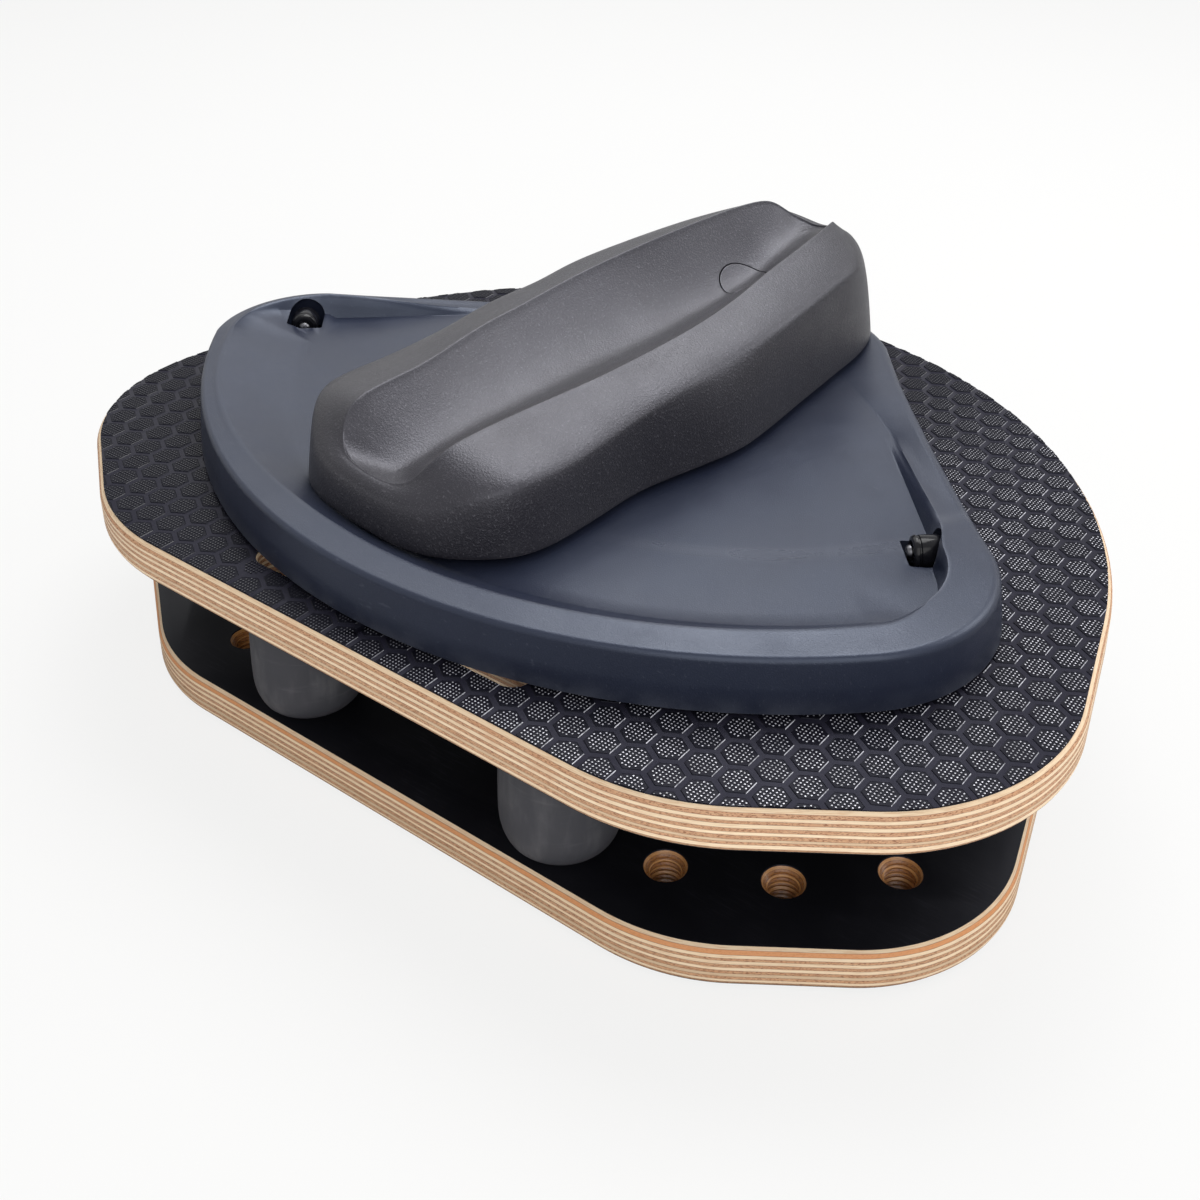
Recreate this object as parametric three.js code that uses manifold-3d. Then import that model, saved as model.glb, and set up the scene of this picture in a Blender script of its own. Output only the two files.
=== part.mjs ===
// Rocker riser for the front wheel of a bicycle on an indoor trainer.
// Two plywood boards stand apart on four rubber buffers, and the upper one carries a steering plate
// whose wheel cradle swivels about a spindle.
// Millimetres, +Z up, the bicycle faces -Y, origin on the floor below the middle of the boards.

import * as THREE from "three";
import { mergeVertices } from "three/addons/utils/BufferGeometryUtils.js";
import Module from "manifold-3d";

const wasm = await Module();
wasm.setup();

// Clearances shared by all pieces
const seatGap = 0.3;
const cutOverrun = 3;

// Board outline
const boardDepth = 340.8;
const boardBackRadius = 219.5;
const boardSideRadius = 82;
const boardSideSpread = 145.9;
const boardSideFromFront = 107.6;
const sideStraightLeast = 0.5;
const boardNoseRadius = 96.2;
const boardNoseDegrees = 34.7;

// Board section
const boardThickness = 18;
const filmThickness = 0.4;
const edgeChamferWidth = 2;
const edgeChamferHeight = 2.8;
const lowerBoardInset = 14.5;

// Hand slot and centre mark in the upper board
const slotLength = 135.8;
const slotWidth = 14.8;
const slotFromFront = 26;
const slotEaseWidth = 0.6;
const slotEaseHeight = 0.8;
const markLength = 7.3;
const markWidth = 2;
const markDepth = 1;
const markFromFront = 12.9;

// Floor pads under the lower board
const floorPadRadius = 15;
const floorPadHeight = 2;
const floorPadEase = 0.5;
const floorPadMargin = 26;

// Rubber buffers
const bufferHeight = 55.5;
const bufferBulgeRadius = 23;
const bufferBulgeHeight = 13;
const bufferFootRadius = 18.6;
const bufferTopRadius = 21.6;
const bufferTopEase = 1.2;
const bufferSpread = 69.8;
const bufferLeftShift = 7;
const bufferFromFront = 38.9;
const bufferFromBack = 57;
const bufferSocketDepth = 12;

// Rows of spare buffer holes
const holePitch = 42;
const frontRowRadius = 148;
const frontRowStartDegrees = 2.5;
const spareHoleRadius = 6.35;
const spareHoleMouthRadius = 8.1;
const spareHoleMouthDepth = 1.7;
const spareSocketDepth = 13;
const spareHoleCount = 3;

// Studs, nuts and inserts that hold the buffers
const lowerStudRadius = 5.9;
const upperStudRadius = 2.9;
const nutRadius = 9.5;
const nutHeight = 6;
const washerRadius = 12.5;
const washerThickness = 1.6;
const nutRecess = 8.4;
const insertRadius = 4.4;
const insertLength = 12;
const socketKeyRadius = 2.4;
const socketKeyDepth = 3;

// Steering plate outline, about its spindle
const spindleFromBack = 81.9;
const plateTurnDegrees = -4;
const plateFrontRadius = 246;
const plateApexRadius = 70;
const plateCornerRadius = 60;
const plateFarCornerRadius = 50;
const plateSideDegrees = 44.7;

// Steering plate section, heights above the deck
const plateLift = 1.5;
const plateFloorHeight = 15.4;
const plateRimHeight = 24.2;
const plateFrontDrop = 1.8;
const plateWall = 3;
const plateFootLip = 0.8;
const cornerLean = 1.8;
const farLean = 4.5;
const frontLean = 0.4;
const apexLean = 0.4;
const apexFarLean = 5.5;
const frontBow = 2;
const sideBow = 2.4;
const apexRise = 0.25;
const shoulderWidth = 4.5;
const shoulderHeight = 5;
const grooveDip = 2.2;
const floorInset = 50;
const bevelStart = 9;
const sideFootInset = 20;
const nearFootInset = 23.5;
const farFootInset = 16;
const sweptFootInset = 42;
const bevelFootInset = 28;
const sideWallRun = 2.4;
const farWallRun = 4;

// Steering plate ribs, hub and feet
const ribThickness = 2.4;
const ribLift = 1;
const ribRingRadii = [92, 142];
const ribDegrees = [-45, -15, 15, 45, 180];
const plateHubRadius = 14;
const plateFootRadius = 9;
const plateFootHeight = 3;
const plateFootStemRadius = 3.5;
const plateFootStemLength = 5;
const plateFootBossRadius = 10.4;
const plateFootInset = 22;

// Corner rollers of the steering plate, distances outwards from the spindle's axis
const rollerRadius = 6.3;
const rollerWaistRadius = 5.2;
const rollerLength = 11;
const rollerEase = 1;
const rollerPocketRadius = 8.6;
const rollerPocketStart = 38.5;
const rollerPocketEndNear = 54;
const rollerPocketEndFar = 58;
const rollerPocketWall = 2.2;
const rollerStart = 41;
const rollerDrop = 0.6;
const rollerAlongNear = 171.5;
const rollerAlongFar = 205.5;
const rollerBoreRadius = 1.9;
const rollerScrewRadius = 1.5;
const rollerScrewHeadRadius = 2.7;
const rollerScrewHeadHeight = 1.6;
const rollerScrewDepth = 6;
const rollerBossRadius = 4.6;

// Wheel cradle, heights above the underside of its skirt
const cradleTurnDegrees = -4;
const cradleLift = 2.6;
const cradleLength = 290;
const cradleFrontReach = 220;
const cradleHalfWidth = 65.3;
const cradleHeight = 56.3;
const cradleWall = 3.4;
const cradleSkirtEase = 1;
const crestEase = 1.3;
const ridgeSwell = 1.6;
const channelRoof = 4.2;

// Cradle surface from the front middle round to the back middle.
// skirt: share of the length behind the front tip, share of the half width
// shoulder and crest: the same two shares and a share of the height
// bed: share of the length and share of the height on the middle line
const cradleStationShares = [
  { skirt: [0, 0], shoulder: [0.012, 0, 0.27], crest: [0.027, 0, 0.34], bed: [0.07, 0.262] },
  { skirt: [0.004, 0.33], shoulder: [0.016, 0.3, 0.28], crest: [0.031, 0.2, 0.35], bed: [0.075, 0.262] },
  { skirt: [0.02, 0.58], shoulder: [0.033, 0.54, 0.33], crest: [0.042, 0.32, 0.41], bed: [0.085, 0.266] },
  { skirt: [0.057, 0.79], shoulder: [0.062, 0.74, 0.43], crest: [0.06, 0.39, 0.53], bed: [0.1, 0.277] },
  { skirt: [0.1, 0.93], shoulder: [0.1, 0.865, 0.49], crest: [0.088, 0.415, 0.61], bed: [0.123, 0.295] },
  { skirt: [0.15, 0.975], shoulder: [0.15, 0.9, 0.505], crest: [0.132, 0.425, 0.64], bed: [0.15, 0.318] },
  { skirt: [0.22, 0.957], shoulder: [0.216, 0.9, 0.512], crest: [0.207, 0.44, 0.66], bed: [0.211, 0.352] },
  { skirt: [0.317, 0.916], shoulder: [0.317, 0.882, 0.568], crest: [0.317, 0.514, 0.716], bed: [0.317, 0.382] },
  { skirt: [0.4, 0.953], shoulder: [0.405, 0.888, 0.636], crest: [0.405, 0.533, 0.75], bed: [0.405, 0.409] },
  { skirt: [0.493, 1], shoulder: [0.493, 0.873, 0.664], crest: [0.511, 0.549, 0.807], bed: [0.511, 0.425] },
  { skirt: [0.564, 0.965], shoulder: [0.573, 0.873, 0.716], crest: [0.603, 0.52, 0.864], bed: [0.603, 0.459] },
  { skirt: [0.67, 0.869], shoulder: [0.67, 0.833, 0.75], crest: [0.687, 0.463, 0.925], bed: [0.687, 0.5] },
  { skirt: [0.784, 0.77], shoulder: [0.775, 0.755, 0.784], crest: [0.78, 0.402, 0.973], bed: [0.78, 0.58] },
  { skirt: [0.872, 0.686], shoulder: [0.846, 0.676, 0.784], crest: [0.846, 0.349, 1], bed: [0.837, 0.693] },
  { skirt: [0.938, 0.549], shoulder: [0.899, 0.51, 0.807], crest: [0.894, 0.275, 0.982], bed: [0.877, 0.773] },
  { skirt: [0.982, 0.333], shoulder: [0.943, 0.294, 0.807], crest: [0.921, 0.147, 0.886], bed: [0.899, 0.814] },
  { skirt: [1, 0], shoulder: [0.96, 0, 0.75], crest: [0.932, 0, 0.845], bed: [0.907, 0.836] },
];
const wallTopShares = [0.45, 0.72];
const channelShares = [0.92, 0.74, 0.52, 0.3, 0.12];
const channelPower = 1.55;
const hollowRidgeShare = 0.42;

// Cradle ribs and glides
const cradleRibThickness = 2.4;
const cradleRibShares = [0.16, 0.32, 0.48, 0.64];
const glideRadius = 8;
const glideHeight = 4;
const glideFromFront = 55;
const glideSpread = 40;
const glideSeatDepth = 2;
const glideBossRadius = 10.5;

// Swivel: spindle, bush, washers, screw and cap
const spindleRadius = 6;
const spindleFlangeRadius = 11;
const spindleFlangeHeight = 2.4;
const bushWall = 1.8;
const bushFlangeRadius = 9.6;
const bushFlangeHeight = 1.5;
const thrustRadius = 15;
const thrustThickness = 1.3;
const cradleHubRadius = 16;
const swivelLedgeDepth = 13.6;
const topWasherRadius = 9.8;
const topWasherThickness = 1.6;
const swivelScrewRadius = 3;
const swivelScrewHeadRadius = 5;
const swivelScrewHeadHeight = 3.2;
const swivelScrewLength = 14;
const capRadius = 10;
const capWall = 1.8;

// Facets
const arcStepDegrees = 7;
const roundSegments = 20;
const smallSegments = 12;
const stationSteps = 2;
const sideSteps = 14;

// Finishes: colour, roughness and metalness
const finishes = {
  plywood: { color: 0xe0b285, roughness: 0.6, metalness: 0 },
  gripFilm: { color: 0x16171c, roughness: 0.45, metalness: 0 },
  rubber: { color: 0x3a3b3e, roughness: 0.8, metalness: 0 },
  plateShell: { color: 0x4d5462, roughness: 0.5, metalness: 0 },
  cradleShell: { color: 0x45454b, roughness: 0.6, metalness: 0 },
  blackPlastic: { color: 0x0e0f14, roughness: 0.25, metalness: 0 },
  slidePlastic: { color: 0xd8d6cc, roughness: 0.4, metalness: 0 },
  zincSteel: { color: 0xb9bcc0, roughness: 0.35, metalness: 1 },
  brass: { color: 0xb08d4a, roughness: 0.35, metalness: 1 },
};

// Levels of the stack, from the floor up
const lowerBoardBottom = floorPadHeight;
const lowerBoardTop = lowerBoardBottom + boardThickness;
const upperBoardBottom = lowerBoardTop + bufferHeight;
const deckTop = upperBoardBottom + boardThickness;
const spindleY = boardDepth / 2 - spindleFromBack;

const radians = THREE.MathUtils.degToRad;
const smooth = (t) => THREE.MathUtils.smoothstep(t, 0, 1);
const mix = THREE.MathUtils.lerp;

const part = new THREE.Group();
const plateGroup = new THREE.Group();
plateGroup.position.set(0, spindleY, deckTop);
plateGroup.rotation.z = radians(plateTurnDegrees);
const cradleGroup = new THREE.Group();
cradleGroup.rotation.z = radians(cradleTurnDegrees);
plateGroup.add(cradleGroup);
part.add(plateGroup);

// A solid from a closed geometry, with its faces turned outwards.
function solid(geometry) {
  const bare = new THREE.BufferGeometry().setAttribute("position", geometry.getAttribute("position"));
  bare.setIndex(geometry.getIndex());
  const merged = mergeVertices(bare);
  const index = merged.getIndex().array;
  const faces = [];
  for (let i = 0; i < index.length; i += 3) {
    const [a, b, c] = [index[i], index[i + 1], index[i + 2]];
    if (a !== b && b !== c && c !== a) faces.push(a, b, c);
  }
  const build = (triVerts) =>
    new wasm.Manifold(
      new wasm.Mesh({ numProp: 3, vertProperties: merged.getAttribute("position").array, triVerts }),
    );
  const made = build(new Uint32Array(faces));
  return made.volume() < 0 ? build(new Uint32Array(faces.reverse())) : made;
}

// Adds a named mesh of a solid to a group.
function addPiece(group, name, body, finish) {
  const mesh = body.getMesh();
  const geometry = new THREE.BufferGeometry();
  const positions = new Float32Array(mesh.numVert * 3);
  for (let i = 0; i < mesh.numVert; i += 1) {
    for (let axis = 0; axis < 3; axis += 1) {
      positions[i * 3 + axis] = mesh.vertProperties[i * mesh.numProp + axis];
    }
  }
  geometry.setAttribute("position", new THREE.BufferAttribute(positions, 3));
  geometry.setIndex(new THREE.BufferAttribute(mesh.triVerts, 1));
  geometry.computeVertexNormals();
  const piece = new THREE.Mesh(geometry, new THREE.MeshStandardMaterial(finishes[finish]));
  piece.name = name;
  group.add(piece);
}

// A closed solid through rings of equal point counts, lowest or outermost ring first.
function loft(rings) {
  const count = rings[0].length;
  const positions = rings.flat(2);
  const index = [];
  for (let r = 0; r + 1 < rings.length; r += 1) {
    for (let i = 0; i < count; i += 1) {
      const next = (i + 1) % count;
      const [a, b] = [r * count + i, r * count + next];
      const [c, d] = [a + count, b + count];
      index.push(a, b, d, a, d, c);
    }
  }
  const flat = (ring) => ring.map(([x, y]) => new THREE.Vector2(x, y));
  const last = (rings.length - 1) * count;
  for (const face of THREE.ShapeUtils.triangulateShape(flat(rings[0]), [])) {
    index.push(face[0], face[2], face[1]);
  }
  for (const face of THREE.ShapeUtils.triangulateShape(flat(rings[rings.length - 1]), [])) {
    index.push(last + face[0], last + face[1], last + face[2]);
  }
  const geometry = new THREE.BufferGeometry();
  geometry.setAttribute("position", new THREE.Float32BufferAttribute(positions, 3));
  geometry.setIndex(index);
  return solid(geometry);
}

// A solid turned about the Z axis from a closed profile of radius and height pairs.
function turned(profile, segments = roundSegments) {
  const points = profile.map(([radius, height]) => new THREE.Vector2(radius, height));
  return solid(new THREE.LatheGeometry(points, segments).rotateX(Math.PI / 2));
}

// A plain round bar between two heights.
function bar(radius, low, high, segments = roundSegments) {
  return turned([[0, low], [radius, low], [radius, high], [0, high]], segments);
}

// A ring with a round bore between two heights.
function tube(bore, radius, low, high, segments = roundSegments) {
  return turned([[bore, low], [radius, low], [radius, high], [bore, high], [bore, low]], segments);
}

// A flat-sided bar extruded from a closed outline between two heights.
function prism(outline, low, high) {
  return loft([low, high].map((z) => outline.map(([x, y]) => [x, y, z])));
}

// A box given by its corners.
function block([x0, y0, z0], [x1, y1, z1]) {
  return prism([[x0, y0], [x1, y0], [x1, y1], [x0, y1]], z0, z1);
}

// Points of a circular arc, both ends included, as position and outward normal.
function arc(x, y, radius, from, to, step = radians(arcStepDegrees)) {
  const steps = Math.max(1, Math.ceil(Math.abs(to - from) / step));
  return Array.from({ length: steps + 1 }, (_, i) => {
    const angle = mix(from, to, i / steps);
    const [nx, ny] = [Math.cos(angle), Math.sin(angle)];
    return { x: x + radius * nx, y: y + radius * ny, nx, ny, share: i / steps };
  });
}

// Outline of the upper board, front middle round to the right, closed, tangent arcs and straights.
// A back arc that outgrows the spread carries the side arcs outwards, so that it still runs into them.
function boardOutline() {
  const front = -boardDepth / 2;
  const noseAngle = radians(boardNoseDegrees);
  const sideY = front + boardSideFromFront;
  const backY = boardDepth / 2 - boardBackRadius;
  const radiusStep = boardBackRadius - boardSideRadius;
  const touching = Math.sqrt(Math.max(0, radiusStep ** 2 - (backY - sideY) ** 2));
  const side = [Math.max(boardSideSpread, touching + sideStraightLeast), sideY];
  const slant = [Math.sin(noseAngle), -Math.cos(noseAngle)];
  const slantReach = side[0] * slant[0] + side[1] * slant[1] + boardSideRadius - boardNoseRadius;
  const noseX = (slantReach - (front + boardNoseRadius) * slant[1]) / slant[0];
  const [dx, dy] = [-side[0], backY - side[1]];
  const lean = Math.PI / 2 - Math.atan2(dy, -dx);
  const tangent = lean - Math.asin(radiusStep / Math.hypot(dx, dy));
  const right = [
    ...arc(noseX, front + boardNoseRadius, boardNoseRadius, -Math.PI / 2, noseAngle - Math.PI / 2),
    ...arc(...side, boardSideRadius, noseAngle - Math.PI / 2, tangent),
    ...arc(0, backY, boardBackRadius, tangent, Math.PI / 2),
  ];
  const left = right.slice(0, -1).reverse().map((p) => ({ ...p, x: -p.x, nx: -p.nx }));
  return [...right, ...left];
}

// Outline points moved inwards by an inset at a height.
const insetRing = (outline, inset, z) => outline.map((p) => [p.x - p.nx * inset, p.y - p.ny * inset, z]);

// Centres of a stadium's end and the points of the whole stadium, lying along X or Y.
function stadium(x, y, length, width, alongX, spread = 0) {
  const radius = width / 2 + spread;
  const reach = (length - width) / 2;
  const [cx, cy] = alongX ? [reach, 0] : [0, reach];
  const turn = alongX ? -Math.PI / 2 : 0;
  const step = Math.PI * 2 / smallSegments;
  return [
    ...arc(x + cx, y + cy, radius, turn, turn + Math.PI, step),
    ...arc(x - cx, y - cy, radius, turn + Math.PI, turn + Math.PI * 2, step),
  ].map((p) => [p.x, p.y]);
}

// Places of the buffers and of the spare holes in the boards.
const boardFront = -boardDepth / 2;
const bufferPlaces = {
  front_left: [bufferLeftShift - bufferSpread, boardFront + bufferFromFront],
  front_right: [bufferSpread, boardFront + bufferFromFront],
  rear_left: [-bufferSpread, boardDepth / 2 - bufferFromBack],
  rear_right: [bufferSpread, boardDepth / 2 - bufferFromBack],
};

function sparePlaces() {
  const places = [];
  const [frontX, frontY] = bufferPlaces.front_right;
  const start = radians(frontRowStartDegrees);
  const frontCentre = [frontX - frontRowRadius * Math.sin(start), frontY + frontRowRadius * Math.cos(start)];
  const frontTurn = 2 * Math.asin(holePitch / 2 / frontRowRadius);
  const [rearX, rearY] = bufferPlaces.rear_right;
  const backY = boardDepth / 2 - boardBackRadius;
  const rearRadius = Math.hypot(rearX, rearY - backY);
  const rearStart = Math.atan2(rearX, rearY - backY);
  const rearTurn = 2 * Math.asin(holePitch / 2 / rearRadius);
  for (const side of [-1, 1]) {
    for (let k = 1; k <= spareHoleCount; k += 1) {
      const frontAngle = start + frontTurn * k;
      const rearAngle = rearStart + rearTurn * k;
      places.push([
        side * (frontCentre[0] + frontRowRadius * Math.sin(frontAngle)),
        frontCentre[1] - frontRowRadius * Math.cos(frontAngle),
      ]);
      places.push([side * rearRadius * Math.sin(rearAngle), backY + rearRadius * Math.cos(rearAngle)]);
    }
  }
  return places;
}

const upperOutline = boardOutline();
const lowerOutline = upperOutline.map((p) => ({
  ...p,
  x: p.x - p.nx * lowerBoardInset,
  y: p.y - p.ny * lowerBoardInset,
}));
const spares = sparePlaces();

// Plies of one board between its two films, with chamfered edges.
function plies(outline, bottom) {
  const low = bottom + filmThickness;
  const high = bottom + boardThickness - filmThickness;
  const chamfer = edgeChamferHeight - filmThickness;
  return loft([
    insetRing(outline, edgeChamferWidth, low),
    insetRing(outline, 0, low + chamfer),
    insetRing(outline, 0, high - chamfer),
    insetRing(outline, edgeChamferWidth, high),
  ]);
}

// One film sheet, which ends where the edge chamfer begins.
function film(outline, bottom) {
  const edge = insetRing(outline, edgeChamferWidth, 0);
  return prism(edge, bottom, bottom + filmThickness);
}

// A through hole with a countersunk mouth at the top.
function countersunk([x, y], bottom, top) {
  const mouthSlope = (spareHoleMouthRadius - spareHoleRadius) / spareHoleMouthDepth;
  return turned([
    [0, bottom - cutOverrun],
    [spareHoleRadius, bottom - cutOverrun],
    [spareHoleRadius, top - spareHoleMouthDepth],
    [spareHoleMouthRadius + mouthSlope * cutOverrun, top + cutOverrun],
    [0, top + cutOverrun],
  ], smallSegments).translate([x, y, 0]);
}

// Lower board: plies, two films, spare holes, stud holes with nut recesses and floor pads.
function addLowerBoard() {
  const studHole = lowerStudRadius + seatGap;
  const recess = washerRadius + seatGap;
  const cutters = spares.map((place) => countersunk(place, lowerBoardBottom, lowerBoardTop));
  for (const [x, y] of Object.values(bufferPlaces)) {
    const low = lowerBoardBottom - cutOverrun;
    cutters.push(bar(studHole, low, lowerBoardTop + cutOverrun, smallSegments).translate([x, y, 0]));
    cutters.push(bar(recess, low, lowerBoardBottom + nutRecess, smallSegments).translate([x, y, 0]));
  }
  const cut = (body) => cutters.reduce((left, cutter) => left.subtract(cutter), body);
  addPiece(part, "lower_board", cut(plies(lowerOutline, lowerBoardBottom)), "plywood");
  addPiece(part, "lower_top_film", cut(film(lowerOutline, lowerBoardTop - filmThickness)), "gripFilm");
  addPiece(part, "lower_under_film", cut(film(lowerOutline, lowerBoardBottom)), "gripFilm");

  const padX = boardSideSpread + boardSideRadius - lowerBoardInset - floorPadMargin;
  const frontY = boardFront + lowerBoardInset + floorPadMargin;
  const backY = boardDepth / 2 - lowerBoardInset - floorPadMargin;
  const pads = {
    floor_pad_front: [0, frontY],
    floor_pad_left: [-padX, boardFront + boardSideFromFront],
    floor_pad_right: [padX, boardFront + boardSideFromFront],
    floor_pad_back: [0, backY],
  };
  const pad = turned([
    [0, 0],
    [floorPadRadius - floorPadEase, 0],
    [floorPadRadius, floorPadEase],
    [floorPadRadius, floorPadHeight],
    [0, floorPadHeight],
  ]);
  for (const [name, [x, y]] of Object.entries(pads)) addPiece(part, name, pad.translate([x, y, 0]), "rubber");
}

// One rubber buffer, standing on the lower board, with a stud socket at each end.
function bufferBody() {
  const bulge = bufferBulgeRadius;
  const lowCurve = new THREE.QuadraticBezierCurve(
    new THREE.Vector2(bufferFootRadius, 0),
    new THREE.Vector2(bulge, bufferBulgeHeight * 0.3),
    new THREE.Vector2(bulge, bufferBulgeHeight),
  );
  const highCurve = new THREE.QuadraticBezierCurve(
    new THREE.Vector2(bulge, bufferBulgeHeight),
    new THREE.Vector2(bulge, bufferHeight * 0.6),
    new THREE.Vector2(bufferTopRadius, bufferHeight - bufferTopEase),
  );
  const lower = lowerStudRadius + seatGap;
  const upper = upperStudRadius + seatGap;
  return turned([
    [0, bufferSocketDepth],
    [lower, bufferSocketDepth],
    [lower, 0],
    ...lowCurve.getPoints(4).map((p) => [p.x, p.y]),
    ...highCurve.getPoints(3).slice(1).map((p) => [p.x, p.y]),
    [bufferTopRadius - bufferTopEase, bufferHeight],
    [upper, bufferHeight],
    [upper, bufferHeight - bufferSocketDepth],
    [0, bufferHeight - bufferSocketDepth],
  ]);
}

// A washer and hexagon nut in one, with the stud's bore.
function nutBody() {
  const bore = lowerStudRadius + seatGap;
  const hexagon = turned([
    [0, 0],
    [nutRadius, 0],
    [nutRadius, nutHeight],
    [0, nutHeight],
  ], 6);
  return hexagon
    .add(bar(washerRadius, nutHeight, nutHeight + washerThickness, smallSegments))
    .subtract(bar(bore, -cutOverrun, nutHeight + washerThickness + cutOverrun, smallSegments));
}

// A plain stud with a hexagon key socket in its lower end.
function studBody(radius, low, high) {
  return bar(radius, low, high, smallSegments)
    .subtract(bar(socketKeyRadius, low - cutOverrun, low + socketKeyDepth, 6));
}

// Buffers with their studs, nuts and inserts.
function addBuffers() {
  const nutTop = lowerBoardBottom + nutRecess - seatGap;
  const nutLow = nutTop - nutHeight - washerThickness;
  const lowerStudTop = lowerBoardTop + bufferSocketDepth - seatGap;
  const upperStudLow = upperBoardBottom - bufferSocketDepth + seatGap;
  const insertTop = upperBoardBottom + insertLength;
  const bodies = {
    rubber: bufferBody(),
    nut: nutBody(),
    lowerStud: studBody(lowerStudRadius, nutLow, lowerStudTop),
    upperStud: bar(upperStudRadius, upperStudLow, insertTop - seatGap, smallSegments),
    insert: tube(upperStudRadius + seatGap, insertRadius, upperBoardBottom + filmThickness, insertTop, smallSegments),
  };
  for (const [place, [x, y]] of Object.entries(bufferPlaces)) {
    addPiece(part, `buffer_${place}`, bodies.rubber.translate([x, y, lowerBoardTop]), "rubber");
    addPiece(part, `lower_stud_${place}`, bodies.lowerStud.translate([x, y, 0]), "zincSteel");
    addPiece(part, `lower_nut_${place}`, bodies.nut.translate([x, y, nutLow]), "zincSteel");
    addPiece(part, `upper_stud_${place}`, bodies.upperStud.translate([x, y, 0]), "zincSteel");
    addPiece(part, `upper_insert_${place}`, bodies.insert.translate([x, y, 0]), "brass");
  }
}

// Upper board: plies, grip film with hand slot and centre mark, and the under film.
function addUpperBoard() {
  const slotY = boardFront + slotFromFront;
  const low = upperBoardBottom - cutOverrun;
  const ring = (spread, z) =>
    stadium(0, slotY, slotLength, slotWidth, true, spread).map(([x, y]) => [x, y, z]);
  const slot = loft([
    ring(-slotEaseWidth, low),
    ring(-slotEaseWidth, deckTop - filmThickness - slotEaseHeight),
    ring(0, deckTop - filmThickness),
    ring(0, deckTop + cutOverrun),
  ]);
  const markY = boardFront + markFromFront;
  const mark = prism(
    stadium(0, markY, markLength, markWidth, false),
    deckTop - markDepth,
    deckTop + cutOverrun,
  );
  const cutters = [slot, mark];
  const insertBore = insertRadius + seatGap;
  for (const [x, y] of Object.values(bufferPlaces)) {
    const top = upperBoardBottom + insertLength + seatGap;
    cutters.push(bar(insertBore, low, top, smallSegments).translate([x, y, 0]));
  }
  for (const [x, y] of spares) {
    const top = upperBoardBottom + spareSocketDepth;
    cutters.push(bar(insertBore, low, top, smallSegments).translate([x, y, 0]));
  }
  const cut = (body) => cutters.reduce((left, cutter) => left.subtract(cutter), body);
  addPiece(part, "upper_board", cut(plies(upperOutline, upperBoardBottom)), "plywood");
  addPiece(part, "upper_grip_film", cut(film(upperOutline, deckTop - filmThickness)), "gripFilm");
  addPiece(part, "upper_under_film", cut(film(upperOutline, upperBoardBottom)), "gripFilm");
}

// Reach and angle of the centre of a corner arc that is tangent to the front arc and to the side.
function cornerCentre(radius) {
  const spread = plateFrontRadius - radius;
  return { spread, angle: radians(plateSideDegrees) - Math.acos((plateApexRadius - radius) / spread) };
}

// Outline of the steering plate about its spindle, counter-clockwise from the right end of the apex.
function plateOutline() {
  const side = radians(plateSideDegrees);
  const corner = (sign, radius, from, to) => {
    const { spread, angle } = cornerCentre(radius);
    return arc(sign * spread * Math.cos(angle), spread * Math.sin(angle), radius, from, to);
  };
  const nearAngle = cornerCentre(plateCornerRadius).angle;
  const farAngle = cornerCentre(plateFarCornerRadius).angle;
  const straight = (start, end, segment) => {
    const steps = sideSteps;
    return Array.from({ length: steps - 1 }, (_, i) => {
      const share = (i + 1) / steps;
      return { ...start, x: mix(start.x, end.x, share), y: mix(start.y, end.y, share), share, segment };
    });
  };
  const tag = (points, segment) => points.map((p) => ({ ...p, segment }));
  const apex = tag(arc(0, 0, plateApexRadius, side, Math.PI - side), "apex");
  const farCorner = tag(corner(-1, plateFarCornerRadius, Math.PI - side, Math.PI - farAngle), "farCorner");
  const front = tag(arc(0, 0, plateFrontRadius, Math.PI - farAngle, Math.PI * 2 + nearAngle), "front");
  const nearCorner = tag(corner(1, plateCornerRadius, Math.PI * 2 + nearAngle, Math.PI * 2 + side), "nearCorner");
  return [
    ...apex,
    ...straight(apex.at(-1), farCorner[0], "farSide"),
    ...farCorner,
    ...front.slice(1, -1),
    ...nearCorner,
    ...straight(nearCorner.at(-1), apex[0], "nearSide"),
  ];
}

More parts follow.
